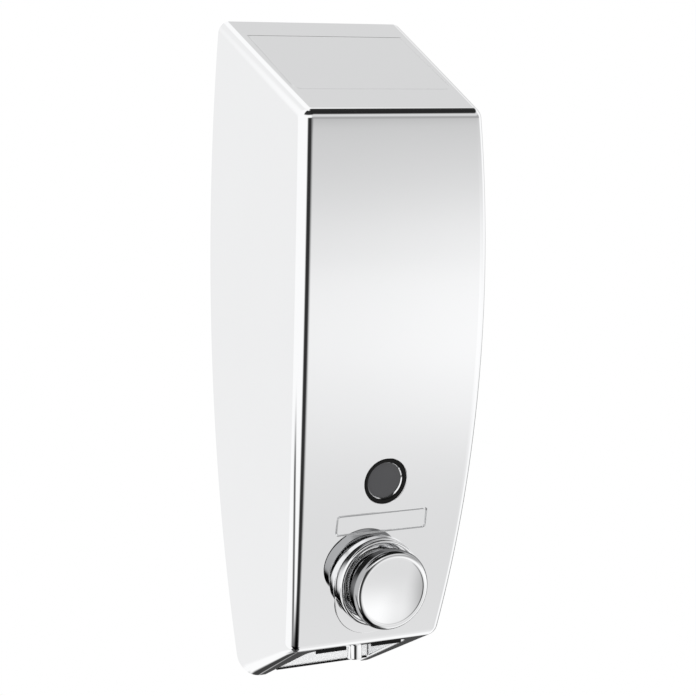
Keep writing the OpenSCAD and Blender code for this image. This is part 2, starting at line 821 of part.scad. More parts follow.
module button_cap() {
    color([0.86, 0.87, 0.88])
    on_button()
        difference() {
            union() {
                rotate_extrude($fn = 96) {
                    translate([cap_r - cap_round, cap_out - cap_round])
                        circle(r = cap_round);
                    translate([cap_r - 0.6, cap_low + 0.6])
                        circle(r = 0.6);
                    translate([0, cap_low + 0.6])
                        square([cap_r, cap_out - cap_round - cap_low - 0.6]);
                    translate([0, cap_low])
                        square([cap_r - 0.6, 1]);
                    translate([0, cap_out - cap_round - 0.1])
                        square([cap_r - cap_round, cap_round + 0.1]);
                }
                rod(cap_neck_r, cap_tail, cap_low + 0.4);
                rod(neck_bore - 0.06, cap_tail, cap_tail + 2);
            }
            translate([0, 0, cap_out - dish + dish_r])
                sphere(r = dish_r, $fn = 180);
            difference() {
                rod(cap_neck_r - 1.6, cap_tail - 1, cap_out - 3.4);
                rod(rod_r + 1.8, cap_out - 8, cap_out);
            }
            rod(rod_r + 0.02, cap_tail - 1, cap_out - 3.6);
        }
}

module piston_rod() {
    color([0.75, 0.76, 0.78])
    on_button() {
        rod(rod_r, piston_front, cap_out - 3.62);
        rod(rod_r - 0.6, piston_back - 2.4, piston_front + 0.5);
    }
}

module piston() {
    color([0.9, 0.9, 0.88])
    on_button()
        difference() {
            rod(bore_r - 0.08, piston_back, piston_front);
            rod(rod_r - 0.58, piston_back - 1, piston_front + 1);
            for (z = [0.3, 0.7])
                ring(bore_r + 1, bore_r - 1.05, piston_back + z * piston_len - 0.55,
                    piston_back + z * piston_len + 0.55);
        }
}

module piston_rings() {
    color([0.1, 0.1, 0.1])
    on_button()
        for (z = [0.3, 0.7])
            translate([0, 0, piston_back + z * piston_len])
                rotate_extrude()
                    translate([bore_r - 0.53, 0])
                        circle(r = 0.5, $fn = 24);
}

module piston_nut() {
    color([0.7, 0.7, 0.72])
    on_button()
        difference() {
            translate([0, 0, piston_back - 2.02])
                cylinder(r = rod_r + 0.7, h = 2, $fn = 6);
            rod(rod_r - 0.58, piston_back - 3, piston_back + 1);
        }
}

module return_spring() {
    color([0.65, 0.66, 0.68])
    on_button()
        translate([0, 0, chamber_end + plug_t + 0.05])
            coil(bore_r - 1.4, return_wire, return_len, return_turns);
}

wall_bracket();
adhesive_pads();
housing();
rear_cover();
cover_screws();
soap_tank();
tank_grommet();
lid();
lid_seal();
lid_hinge_pin();
window_lens();
window_gasket();
window_retainer();
label_strip();
button_collar();
panel_gasket();
pump_body();
pump_end_cap();
end_cap_seal();
inlet_seat();
inlet_ball();
outlet_ball();
outlet_spring();
outlet_elbow();
nozzle();
button_cap();
piston_rod();
piston();
piston_rings();
piston_nut();
return_spring();
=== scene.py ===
"""Looks of a wall soap dispenser: chrome shell, lid, window, push button and pump, on its packed frame."""

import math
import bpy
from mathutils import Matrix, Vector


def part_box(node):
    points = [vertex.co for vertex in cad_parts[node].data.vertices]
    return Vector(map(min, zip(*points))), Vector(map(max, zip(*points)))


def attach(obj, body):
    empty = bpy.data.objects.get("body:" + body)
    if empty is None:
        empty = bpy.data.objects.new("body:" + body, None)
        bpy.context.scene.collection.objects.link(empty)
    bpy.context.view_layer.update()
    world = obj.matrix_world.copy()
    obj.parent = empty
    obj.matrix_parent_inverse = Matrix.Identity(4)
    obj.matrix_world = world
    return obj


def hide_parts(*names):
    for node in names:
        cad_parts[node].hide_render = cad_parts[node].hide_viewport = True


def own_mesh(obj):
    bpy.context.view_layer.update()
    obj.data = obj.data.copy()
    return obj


bl_info = {
    "name": "Wall soap dispenser",
    "version": (1, 0, 0),
    "blender": (4, 5, 0),
    "location": "View3D > Sidebar > Dispenser",
    "description": "Builds the chrome shell, button, window, seals and springs of a wall soap dispenser",
    "category": "Object",
}

import bmesh
import bpy
import numpy as np
from bpy.props import FloatProperty, FloatVectorProperty, PointerProperty
from mathutils import Matrix, Vector
from mathutils.bvhtree import BVHTree
from mathutils.interpolate import poly_3d_calc

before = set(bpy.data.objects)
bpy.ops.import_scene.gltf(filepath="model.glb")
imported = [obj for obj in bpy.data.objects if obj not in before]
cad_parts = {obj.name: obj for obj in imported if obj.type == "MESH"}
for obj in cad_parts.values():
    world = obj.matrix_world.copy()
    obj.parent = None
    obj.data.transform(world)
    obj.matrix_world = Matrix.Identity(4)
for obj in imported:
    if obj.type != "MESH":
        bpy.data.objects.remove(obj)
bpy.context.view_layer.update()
HOUSING_LOW, HOUSING_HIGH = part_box("housing")
MM = 0.001
SHARP, SHARP_FLAT, SHARP_WIRE = 38.0, 5.0, 60.0

# Fixed measures in millimetres, as in the packed solids
KNEE_EXTRA = 0.7
SEAT_SPARE = 0.15
COLLAR_FOOT = 0.42
HOLE_SET = 1.0
MOUTH_BACK, MOUTH_FRONT = 3.4, 4.0
PLUG_FROM_WALL, PLUG_THICK = 9.2, 2.4
PISTON_REST = -4.05
PLAY = 0.05


def length(name, default, description):
    return FloatProperty(name=name, default=default, min=0.0, unit="LENGTH", precision=5,
                         description=description)


def angle(name, degrees, description):
    return FloatProperty(name=name, default=math.radians(degrees), unit="ROTATION", description=description)


def colour(name, default, description):
    return FloatVectorProperty(name=name, default=default, size=3, min=0.0, max=1.0, subtype="COLOR",
                               description=description)


class ShellSizes(bpy.types.PropertyGroup):
    """Sizes of the chrome shell"""
    height: length("Height", HOUSING_HIGH.z - HOUSING_LOW.z, "Overall height of the shell")
    width: length("Width", 0.074, "Widest width, at the wall")
    depth: length("Depth", 0.058, "Deepest reach of the front panel from the wall")
    side_bow: length("Side bow", 0.925, "Radius of the upright bow of each side")
    front_bow: length("Front bow", 0.472, "Radius of the upright bow of the front panel")
    widest_up: length("Widest level", 0.133, "Height of the widest level above the lowest point")
    deepest_up: length("Deepest level", 0.155, "Height of the deepest level above the lowest point")
    draft: angle("Draft", 4.06, "Lean of each side towards the middle at the front")
    top_slope: angle("Top slope", 26.3, "Fall of the top towards the front")
    bottom_slope: angle("Bottom slope", 25.3, "Rise of the bottom towards the front")
    edge: length("Edge radius", 0.0035, "Radius of the long outer edges")
    foot: length("Foot radius", 0.0075, "Radius of the two lower corners at the wall")
    wall: length("Wall", 0.0024, "Thickness of the sides and front")
    roof: length("Roof", 0.0066, "Thickness of the roof around the lid")
    floor: length("Floor", 0.0045, "Thickness of the bottom")
    notch_width: length("Notch width", 0.035, "Width of the notch in the bottom")
    notch_set: length("Notch setback", 0.0054, "Distance from the lower front edge back to the notch")
    notch_lip: length("Notch lip", 0.0008, "Rounding of the notch's lower edge")
    lip: length("Lip radius", 0.00025, "Rounding of the edges of the holes and recesses")


class LidSizes(bpy.types.PropertyGroup):
    """Sizes of the filler lid"""
    width: length("Width", 0.055, "Width of the lid")
    length: length("Length", 0.038, "Length of the lid down the slope")
    thickness: length("Thickness", 0.0024, "Thickness of the lid")
    back: length("Setback", 0.0105, "Distance from the top edge at the wall to the lid")
    gap: length("Gap", 0.0003, "Gap around the lid's packed solid")
    seam: length("Seam", 0.0001, "Gap seen around the lid's rim")
    rim: length("Rim radius", 0.00008, "Rounding of the lid's upper rim and of its pocket")


class FrontSizes(bpy.types.PropertyGroup):
    """Sizes of the window, label field, button and collar"""
    window_up: length("Window height", 0.0726, "Height of the window above the lowest point")
    window_radius: length("Window radius", 0.00745, "Radius of the window's hole")
    window_ring: length("Ring width", 0.0013, "Width of the window's black ring")
    label_up: length("Label height", 0.0592, "Height of the label field above the lowest point")
    label_width: length("Label width", 0.032, "Width of the label field")
    label_tall: length("Label size", 0.0066, "Height of the label field itself")
    label_deep: length("Label depth", 0.0005, "Depth of the label recess")
    button_up: length("Button height", 0.0397,
                      "Height of the button's axis above the lowest point, at the panel")
    button_tilt: angle("Button tilt", 6.0, "Downward tilt of the button's axis")
    cap_radius: length("Cap radius", 0.01305, "Radius of the button cap")
    cap_out: length("Cap reach", 0.0123, "Reach of the cap's rim from the panel")
    cap_rim: length("Cap rim", 0.002, "Rounding of the cap's rim")
    cap_low: length("Cap underside", 0.007, "Distance from the panel to the underside of the cap's head")
    neck_radius: length("Neck radius", 0.0112, "Radius of the cap's neck")
    dish: length("Dish", 0.001, "Depth of the dish in the cap's face")
    collar_out: length("Collar reach", 0.004, "Reach of the collar from the panel")
    collar_radius: length("Collar radius", 0.0143, "Radius of the collar")
    seat_radius: length("Seat radius", 0.0166, "Radius of the boss behind the panel that the pump bears on")
    pad_radius: length("Pad radius", 0.0136, "Radius of the thin pad under the collar")
    pad_fall: length("Pad fall", 0.0051, "Distance from the button's axis down to the pad's middle")
    pad_out: length("Pad height", 0.00045, "Height of the pad above the panel")


class PumpSizes(bpy.types.PropertyGroup):
    """Sizes of the springs and seals inside"""
    bore: length("Bore", 0.006, "Radius of the pump's bore")
    stroke: length("Stroke", 0.005, "Travel of the button")
    piston: length("Piston", 0.005, "Length of the piston")
    return_wire: length("Return wire", 0.0009, "Wire diameter of the return spring")
    outlet_wire: length("Outlet wire", 0.0004, "Wire diameter of the outlet spring")
    nozzle_radius: length("Nozzle radius", 0.0024, "Radius of the nozzle's tip")
    pad_edge: length("Pad edge", 0.00018, "Rounding of the foam pads")


class FinishColours(bpy.types.PropertyGroup):
    """Colours of the finishes"""
    chrome: colour("Chrome", (0.89, 0.893, 0.9), "Bright chrome plate")
    # The button side's dark tone is a painted dark reflection on the cap's side.
    button_side_painted_reflection: colour("Button side", (0.42, 0.423, 0.43), "Dark plated side of the button")
    steel: colour("Steel", (0.55, 0.56, 0.58), "Plain steel of screws, springs and rods")
    # The rubber colour also paints the black shadow strips in the notch.
    rubber: colour("Rubber", (0.006, 0.006, 0.006), "Seals and gaskets")
    white: colour("White plastic", (0.82, 0.82, 0.8), "Pump parts")
    cover: colour("Cover plastic", (0.88, 0.885, 0.89), "Rear cover")
    bracket: colour("Bracket plastic", (0.68, 0.69, 0.7), "Wall bracket")
    foam: colour("Foam", (0.035, 0.035, 0.037), "Adhesive foam pads")
    tank: colour("Tank plastic", (0.86, 0.9, 0.92), "Translucent soap tank")
    lens: colour("Smoked lens", (0.045, 0.045, 0.048), "Smoked window")
    black: colour("Black plastic", (0.02, 0.02, 0.021), "Window retainer")
    valve: colour("Valve seat", (0.06, 0.14, 0.3), "Blue inlet seat")


class StageSettings(bpy.types.PropertyGroup):
    """Camera, floor and studio"""
    turn: angle("Camera turn", 27.47, "Turn of the camera to the left of the front")
    pitch: angle("Camera pitch", 6.97, "Downward pitch of the camera")
    distance: length("Camera distance", 0.68678, "Distance from the camera to its target")
    target_x: FloatProperty(name="Target x", default=0.01306, unit="LENGTH",
                            description="Sideways place of the target")
    target_z: FloatProperty(name="Target z", default=0.00041, unit="LENGTH",
                            description="Height of the target")
    focal: FloatProperty(name="Focal length", default=105.84, min=1.0,
                         description="Focal length in millimetres")
    floor_drop: length("Floor drop", 0.6, "Distance from the middle of the dispenser down to the floor")
    floor: colour("Floor", (0.86, 0.86, 0.86), "Pale floor")


class BodyForm:
    """The bowed, tapered body in millimetres, by depth from the wall and height from the middle."""

    def __init__(self, s, f):
        self.high, self.low = s.height / 2 / MM, -s.height / 2 / MM
        self.half, self.depth = s.width / 2 / MM, s.depth / MM
        self.side_bow, self.front_bow = s.side_bow / MM, s.front_bow / MM
        self.widest, self.deepest = self.low + s.widest_up / MM, self.low + s.deepest_up / MM
        self.draft, self.lean = s.draft, math.tan(s.draft)
        self.edge, self.foot = s.edge / MM, s.foot / MM
        self.knee_r = self.edge + KNEE_EXTRA
        self.mid = np.array([self.depth - self.front_bow, self.deepest])
        self.top, self.bottom = (s.top_slope, 1), (s.bottom_slope, -1)
        self.knee_top, self.knee_low = self.knee(*self.top), self.knee(*self.bottom)
        self.run_top = float((self.knee_top - [0, self.high]) @ self.along(*self.top))
        self.run_low = float((self.knee_low - [0, self.low]) @ self.along(*self.bottom))
        self.turn_top = math.atan2(*(self.knee_top - self.mid)[::-1])
        self.turn_low = math.atan2(*(self.knee_low - self.mid)[::-1])
        self.window_z = self.low + f.window_up / MM
        self.label_z = self.low + f.label_up / MM
        self.button_z = self.low + f.button_up / MM
        self.button_tilt = f.button_tilt
        self.button_d = self.reach(self.button_z)
        panel_lean, seat_r = self.tilt(self.button_z) - f.button_tilt, f.seat_radius / MM
        self.seat_in = (-s.wall / MM / math.cos(panel_lean) - seat_r * math.tan(panel_lean)
                        - seat_r ** 2 / (2 * self.front_bow) - SEAT_SPARE)
        self.notch_d = self.knee_low[0] + self.knee_r - s.notch_set / MM

    def across(self, a, up):
        return np.array([math.sin(a), up * math.cos(a)])

    def along(self, a, up):
        return np.array([math.cos(a), -up * math.sin(a)])

    def knee(self, a, up):
        q = self.high * math.cos(a) - self.knee_r - self.across(a, up) @ self.mid
        return self.mid + q * self.across(a, up) + math.sqrt(
            (self.front_bow - self.knee_r) ** 2 - q * q) * self.along(a, up)

    def half_width(self, z):
        return self.half - self.side_bow + math.sqrt(self.side_bow ** 2 - (z - self.widest) ** 2)

    def half_slope(self, z):
        return -(z - self.widest) / math.sqrt(self.side_bow ** 2 - (z - self.widest) ** 2)

    def reach(self, z, inset=0.0):
        return self.mid[0] + math.sqrt((self.front_bow - inset) ** 2 - (z - self.deepest) ** 2)

    def tilt(self, z):
        return math.asin((self.deepest - z) / self.front_bow)

    def side(self, z, d, inset):
        level = self.half * math.cos(self.draft) - self.side_bow + math.sqrt(
            (self.side_bow - inset) ** 2 - (z - self.widest) ** 2)
        return (level - d * math.sin(self.draft)) / math.cos(self.draft)

    def on_panel(self, z):
        lean = Matrix.Rotation(math.pi / 2 + self.tilt(z), 4, "X")
        return Matrix.Translation((0, -self.reach(z), z)) @ lean

    def on_button(self):
        return Matrix.Translation((0, -self.button_d, self.button_z)) @ Matrix.Rotation(
            math.pi / 2 + self.button_tilt, 4, "X")

    def on_slope(self):
        return Matrix.Translation((0, 0, self.high)) @ Matrix.Rotation(self.top[0], 4, "X")

    def bend(self, x, y):
        """Fall of the bowed panel below its own tangent plane."""
        return -y * y / (2 * self.front_bow)

    def plug_face(self):
        """Place of the pump plug's inner face along the button's axis."""
        return -(self.button_d - PLUG_FROM_WALL) / math.cos(self.button_tilt) + PLUG_THICK

    def rows(self):
        """Side profile from the top at the wall, over the front, to the bottom at the wall."""
        top_rows, knee_rows, front_rows, low_rows = 10, 18, 72, 8
        found = []
        for i in range(1, top_rows + 1):
            p = np.array([0, self.high]) + self.run_top * i / top_rows * self.along(*self.top)
            found.append((p, self.across(*self.top), self.edge, 0.0))
        spans = ((self.knee_top, self.knee_r, math.pi / 2 - self.top[0], self.turn_top, knee_rows),
                 (self.mid, self.front_bow, self.turn_top, self.turn_low, front_rows),
                 (self.knee_low, self.knee_r, self.turn_low, self.bottom[0] - math.pi / 2, knee_rows))
        for mid, r, start, end, steps in spans:
            for i in range(1, steps + 1):
                a = start + (end - start) * i / steps
                n = np.array([math.cos(a), math.sin(a)])
                found.append((mid + r * n, n, self.edge, 0.0))
        widen = self.foot - self.edge
        for i in range(1, low_rows):
            p = np.array([0, self.low]) + self.run_low * (1 - i / low_rows) * self.along(*self.bottom)
            found.append((p, self.across(*self.bottom), self.edge + widen * i / low_rows,
                          widen / self.run_low))
        return found

    def skin_point(self, b, n, r, grow, theta):
        """Point on the right half of the skin, and its outward direction."""
        s, t = r * (1 - math.cos(theta)), np.array([n[1], -n[0]])
        p = b - s * n
        x = self.half_width(p[1]) - self.lean * p[0] - r * (1 - math.sin(theta))
        h = self.half_slope(p[1])
        round_way = np.array([-r * math.sin(theta) * (h * n[1] - self.lean * n[0]) + r * math.cos(theta),
                              -r * math.sin(theta) * n[0], -r * math.sin(theta) * n[1]])
        q = t - grow * (1 - math.cos(theta)) * n
        run_way = np.array([h * q[1] - self.lean * q[0] - grow * (1 - math.sin(theta)), q[0], q[1]])
        out = np.cross(round_way, run_way)
        facing = np.array([math.sin(theta) + 1e-9, n[0] * math.cos(theta), n[1] * math.cos(theta)])
        out *= (1 if out @ facing > 0 else -1) / np.linalg.norm(out)
        return (x, -p[0], p[1]), (out[0], -out[1], out[2])

    def skin(self):
        """Closed outer skin: points, outward directions and faces."""
        turns = [math.pi / 2 * k / 18 for k in range(19)]
        # shares of the half width on the flat front, and of the way back along the side
        flat = (0.0, 0.35, 0.7, 0.95)
        back = (0.015, 0.08, 0.3, 0.6, 1.0)
        ends = [(np.array([0, self.high]), self.top, self.edge),
                (np.array([0, self.low]), self.bottom, self.foot)]
        rows = self.rows()
        half = []
        for i in range(len(rows) + 2):
            row = []
            at_wall = i in (0, len(rows) + 1)
            if at_wall:
                corner, way, r = ends[0 if i == 0 else 1]
                n, grow = self.across(*way), 0.0
                places = [(corner + r * (1 - math.cos(q)) * math.tan(way[0]) * self.along(*way), q)
                          for q in turns]
            else:
                b, n, r, grow = rows[i - 1]
                places = [(b, q) for q in turns]
            edge = [self.skin_point(p, n, r, grow, q) for p, q in places]
            for c in flat:
                (x, y, z), out = edge[0]
                row.append(((x * c, y, z), out))
            row += edge
            if not at_wall:
                (x, y, z), _ = edge[-1]
                side = np.array([1.0, -self.lean, -self.half_slope(z)])
                side /= np.linalg.norm(side)
                for q in back:
                    d = -y * (1 - q)
                    row.append(((self.half_width(z) - self.lean * d, -d, z), tuple(side)))
            half.append(row)
        points, outs, index = [], [], []
        for row in half:
            full = [((-p[0], p[1], p[2]), (-o[0], o[1], o[2])) for p, o in row[:0:-1]] + row
            extra = len(flat) + len(turns) + len(back) - len(row)
            ids = []
            for p, o in full:
                ids.append(len(points))
                points.append(p)
                outs.append(o)
            index.append([ids[0]] * extra + ids + [ids[-1]] * extra)
        faces = []
        for a, b in zip(index, index[1:]):
            for k in range(len(a) - 1):
                ring = no_repeats([a[k], a[k + 1], b[k + 1], b[k]])
                if len(ring) > 2:
                    faces.append(ring)
        extra = len(back)
        rim = index[0][extra:-extra] + [r[-1] for r in index[1:-1]]
        rim += index[-1][extra:-extra][::-1] + [r[0] for r in index[-2:0:-1]]
        faces.append(rim[::-1])
        return points, outs, faces

    def inside(self, side, front, roof, floor):
        """Closed inner form, pulled in from the skin and open past the wall."""
        a, b = self.top[0], self.bottom[0]

        def roof_d(z):
            return ((self.high - z) * math.cos(a) - roof) / math.sin(a)

        def floor_d(z):
            return (z - self.low - floor / math.cos(b)) / math.tan(b)

        past = -1.0
        z_high = self.high - (roof + past * math.sin(a)) / math.cos(a)
        z_low = self.low + floor / math.cos(b) + past * math.tan(b)

        def meet(limit, lo, hi):
            for _ in range(60):
                mid = (lo + hi) / 2
                lo, hi = (mid, hi) if limit(mid) > self.reach(mid, front) else (lo, mid)
            return lo

        z_top = meet(roof_d, 0, z_high)
        z_bottom = meet(lambda z: -floor_d(z) + 2 * self.reach(z, front), z_low, 0)
        levels = [*np.linspace(z_low, z_bottom, 6), *np.linspace(z_bottom, z_top, 40)[1:],
                  *np.linspace(z_top, z_high, 6)[1:]]
        points, rings = [], []
        for z in levels:
            d = max(past, min(self.reach(z, front), roof_d(z), floor_d(z)))
            corners = [(self.side(z, past, side), -past, z), (self.side(z, d, side), -d, z)]
            if d - past < 1e-6:
                corners = corners[:1]
            start = len(points)
            full = corners + [(-x, y, zz) for x, y, zz in corners[::-1]]
            points += full
            ids = list(range(start, start + len(full)))
            rings.append(ids if len(ids) == 4 else [ids[0], ids[0], ids[1], ids[1]])
        faces = []
        for p, q in zip(rings, rings[1:]):
            for k in range(4):
                ring = no_repeats([p[k], p[(k + 1) % 4], q[(k + 1) % 4], q[k]])
                if len(set(ring)) > 2:
                    faces.append(ring)
        return points, faces


def form_of(context):
    """The body as the panel's sizes describe it."""
    scene = context.scene
    return BodyForm(scene.dispenser_shell, scene.dispenser_front)


def lid_lines(lid):
    """Places down the slope: the lid's back, pin and front, and the filler mouth's back and front."""
    t, back = lid.thickness / MM, -lid.back / MM
    pin, front = back - t, -(lid.back + lid.length) / MM
    return back, pin, front, pin - t - MOUTH_BACK, front + MOUTH_FRONT


def on_hinge(slope, pin, t):
    """Place of a shape turned about the lid's hinge pin."""
    return slope @ Matrix.Translation((0, pin, -t)) @ Matrix.Rotation(math.pi / 2, 4, "Y")


def upright(node):
    """Distance of a packed node from the wall, and its lowest and highest level."""
    low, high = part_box(node)
    return -(low.y + high.y) / 2 / MM, low.z / MM, high.z / MM


def make_piece(name, points, faces, place=None):
    """Mesh object from millimetre points."""
    m = Matrix.Identity(4) if place is None else place
    mesh = bpy.data.meshes.new(name)
    mesh.from_pydata([(m @ Vector(p)) * MM for p in points], [], [list(f) for f in faces])
    bm = bmesh.new()
    bm.from_mesh(mesh)
    bmesh.ops.recalc_face_normals(bm, faces=bm.faces)
    bm.to_mesh(mesh)
    bm.free()
    obj = bpy.data.objects.new(name, mesh)
    bpy.context.scene.collection.objects.link(obj)
    return obj


def soften(obj, degrees=SHARP):
    """Smooth shading with sharp edges past an angle."""
    mesh = obj.data
    mesh.shade_smooth()
    mesh.set_sharp_from_angle(angle=math.radians(degrees))
    return obj


def no_repeats(ring):
    """A face's corners without those that repeat the one before."""
    return [v for j, v in enumerate(ring) if v != ring[j - 1]]


def circle(count):
    """Directions spaced evenly round a circle."""
    return [(math.cos(2 * math.pi * k / count), math.sin(2 * math.pi * k / count)) for k in range(count)]


def moved(outline, y):
    """An outline shifted along y."""
    return [(px, py + y, nx, ny) for px, py, nx, ny in outline]


def arc(cx, cy, r, start, end, steps):
    """Points of an arc, angles in degrees."""
    return [(cx + r * math.cos(math.radians(start + (end - start) * i / steps)),
             cy + r * math.sin(math.radians(start + (end - start) * i / steps))) for i in range(steps + 1)]


def lathe(profile, steps=96):
    """Points and faces of a (radius, height) profile turned about z; open ends lie on the axis."""
    points, rings = [], []
    for r, h in profile:
        if r < 1e-6:
            rings.append([len(points)] * steps)
            points.append((0, 0, h))
        else:
            rings.append(list(range(len(points), len(points) + steps)))
            points += [(r * x, r * y, h) for x, y in circle(steps)]
    closed = profile[0][0] > 1e-6 or profile[-1][0] > 1e-6
    pairs = list(zip(rings, rings[1:])) + ([(rings[-1], rings[0])] if closed else [])
    faces = []
    for a, b in pairs:
        for k in range(steps):
            m = (k + 1) % steps
            ring = no_repeats([a[k], a[m], b[m], b[k]])
            if len(ring) > 2:
                faces.append(ring)
    return points, faces


def rod_section(r, z0, z1):
    """Section of a plain rod."""
    return [(0, z0), (r, z0), (r, z1), (0, z1)]


def ring_section(outer, inner, z0, z1, edge, steps=4):
    """Closed section of a flat ring with rounded edges."""
    return (arc(outer - edge, z0 + edge, edge, -90, 0, steps)
            + arc(outer - edge, z1 - edge, edge, 0, 90, steps)
            + arc(inner + edge, z1 - edge, edge, 90, 180, steps)
            + arc(inner + edge, z0 + edge, edge, 180, 270, steps))


def round_rect(w, h, r, steps=8, square_back=False):
    """Outline of a rectangle with round corners: points and outward directions."""
    found = []
    corners = ((w / 2, h / 2, 0), (-w / 2, h / 2, 90), (-w / 2, -h / 2, 180), (w / 2, -h / 2, 270))
    for x, y, start in corners:
        if square_back and y > 0:
            sx = 1 if x > 0 else -1
            found.append((x, y, sx, 1.0))
            continue
        cx, cy = x - math.copysign(r, x), y - math.copysign(r, y)
        for i in range(steps + 1):
            a = math.radians(start + 90 * i / steps)
            found.append((cx + r * math.cos(a), cy + r * math.sin(a), math.cos(a), math.sin(a)))
    return found


def loft(outline, sections, warp=None):
    """Closed solid through copies of an outline: each section is (outward offset, height)."""
    points, rings = [], []
    for offset, h in sections:
        rings.append(list(range(len(points), len(points) + len(outline))))
        for x, y, nx, ny in outline:
            px, py = x + nx * offset, y + ny * offset
            points.append((px, py, h + (warp(px, py) if warp else 0.0)))
    count = len(outline)
    faces = [[a[k], a[(k + 1) % count], b[(k + 1) % count], b[k]]
             for a, b in zip(rings, rings[1:]) for k in range(count)]
    return points, faces + [rings[0][::-1], rings[-1]]


def rounding(r, stop, steps):
    """Run and rise along a rounded edge, from upright to a turn of so many degrees."""
    turns = [math.radians(stop * i / steps) for i in range(steps + 1)]
    return [(r * (1 - math.cos(a)), r * math.sin(a)) for a in turns]


def lip_sections(depth, lip, above=3.0, steps=5, stop=78, flare=0.02):
    """Sections of a cutter whose wall turns outwards into the surface over a rounded lip."""
    turned = [(run, -lip + rise) for run, rise in rounding(lip, stop, steps)]
    wide = turned[-1][0] + flare
    return [(0.0, -depth)] + turned + [(wide, turned[-1][1] + flare), (wide, above)]


def plate_sections(depth, edge, foot=0.0, steps=5):
    """Sections of a plate whose upper rim is rounded."""
    low = [(-foot, -depth), (0.0, -depth + foot)] if foot else [(0.0, -depth)]
    return low + [(-run, -edge + rise) for run, rise in rounding(edge, 90, steps)]


def box_piece(name, low, high, edge):
    """Box between two corners with rounded edges."""
    bm = bmesh.new()
    bmesh.ops.create_cube(bm, size=1.0)
    for v in bm.verts:
        v.co = Vector([low[i] if v.co[i] < 0 else high[i] for i in range(3)])
    bmesh.ops.bevel(bm, geom=list(bm.edges), offset=edge, segments=3, profile=0.5, affect="EDGES")
    bm.verts.index_update()
    points = [tuple(v.co) for v in bm.verts]
    faces = [[v.index for v in f.verts] for f in bm.faces]
    bm.free()
    return make_piece(name, points, faces)


def coil(r, wire, height, turns, per_turn=40, around=12):
    """Wire wound about the z axis, with its end turns closed up and its ends rounded."""
    end = 0.35

    def lift(u):
        if u < end:
            return 0.5 * u * u / end
        if u > turns - end:
            return turns - end - 0.5 * (turns - u) ** 2 / end
        return u - end / 2

    count = turns * per_turn
    path = []
    for i in range(count + 1):
        u = turns * i / count
        a = 2 * math.pi * u
        rise = wire / 2 + (height - wire) * lift(u) / (turns - end)
        path.append(Vector((r * math.cos(a), r * math.sin(a), rise)))
    points, rings = [], []

    def add_ring(centre, t, radius):
        side = Vector((centre.x, centre.y, 0)).normalized()
        up = t.cross(side).normalized()
        side = up.cross(t).normalized()
        rings.append(list(range(len(points), len(points) + around)))
        points.extend(tuple(centre + radius * (x * side + y * up)) for x, y in circle(around))

    first, last = (path[1] - path[0]).normalized(), (path[-1] - path[-2]).normalized()
    tip_out, tip_r = wire * 0.1, wire * 0.42
    add_ring(path[0] - first * tip_out, first, tip_r)
    for i, p in enumerate(path):
        t = (path[min(i + 1, count)] - path[max(i - 1, 0)]).normalized()
        add_ring(p, t, wire / 2)
    add_ring(path[-1] + last * tip_out, last, tip_r)
    faces = [[a[k], a[(k + 1) % around], b[(k + 1) % around], b[k]]
             for a, b in zip(rings, rings[1:]) for k in range(around)]
    return points, faces + [rings[0][::-1], rings[-1]]


def carve(target, steps, fewest=50):
    """Cuts and joins other pieces, in order, and keeps only the result."""
    for operation, other in steps:
        m = target.modifiers.new("carve", "BOOLEAN")
        m.operation, m.object, m.solver = operation, other, "EXACT"
    deps = bpy.context.evaluated_depsgraph_get()
    deps.update()
    mesh = bpy.data.meshes.new_from_object(target.evaluated_get(deps))
    if len(mesh.polygons) < fewest:
        raise RuntimeError(f"{target.name}: the cuts left almost nothing")
    target.modifiers.clear()
    target.data = mesh
    for _, other in steps:
        bpy.data.objects.remove(other)
    return target


def keep_true_normals(obj, points, outs, faces, near=0.03 * MM, alike=0.985):
    """Gives the faces that lie on a skin that skin's own directions, so that mirror finishes stay smooth."""
    verts = [Vector(p) * MM for p in points]
    tree = BVHTree.FromPolygons(verts, faces)
    mesh = soften(obj).data

    def out_at(p):
        place, _, face, gap = tree.find_nearest(p)
        ids = faces[face]
        weights = poly_3d_calc([verts[i] for i in ids], place)
        out = sum((Vector(outs[i]) * w for i, w in zip(ids, weights)), Vector()).normalized()
        return out, face, gap

    loops = [Vector((0, 0, 0))] * len(mesh.loops)
    back = len(faces) - 1
    for face in mesh.polygons:
        out, hit, gap = out_at(face.center)
        if hit == back or gap > near or out.dot(face.normal) < alike:
            continue
        for k in face.loop_indices:
            loops[k] = out_at(mesh.vertices[mesh.loops[k].vertex_index].co)[0]
    mesh.normals_split_custom_set([tuple(v) for v in loops])
    return obj


def join_islands(obj, others):
    """Adds other pieces to one mesh without cutting it."""
    mesh = obj.data
    kept = [tuple(n.vector) for n in mesh.corner_normals]
    count = len(mesh.polygons)
    bm = bmesh.new()
    bm.from_mesh(mesh)
    for o in others:
        bm.from_mesh(o.data)
        bpy.data.objects.remove(o)
    bm.to_mesh(mesh)
    bm.free()
    if len(mesh.polygons) > count:
        rest = [(0.0, 0.0, 0.0)] * (len(mesh.loops) - len(kept))
        mesh.normals_split_custom_set(kept + rest)
    return obj


def add_node(tree, kind, inputs=None, **settings):
    """New node with its settings, its constants and its links."""
    n = tree.nodes.new(kind)
    for key, value in settings.items():
        setattr(n, key, value)
    for key, value in (inputs or {}).items():
        if isinstance(value, bpy.types.NodeSocket):
            tree.links.new(value, n.inputs[key])
        else:
            n.inputs[key].default_value = value
    return n


def math_node(tree, operation, a, b=0.0):
    return add_node(tree, "ShaderNodeMath", {0: a, 1: b}, operation=operation).outputs[0]


def span(tree, value, from_low, from_high, to_low=0.0, to_high=1.0, smooth=True):
    """A value carried from one range to another and held at its ends."""
    inputs = {"Value": value, "From Min": from_low, "From Max": from_high,
              "To Min": to_low, "To Max": to_high}
    return add_node(tree, "ShaderNodeMapRange", inputs,
                    interpolation_type="SMOOTHSTEP" if smooth else "LINEAR").outputs["Result"]


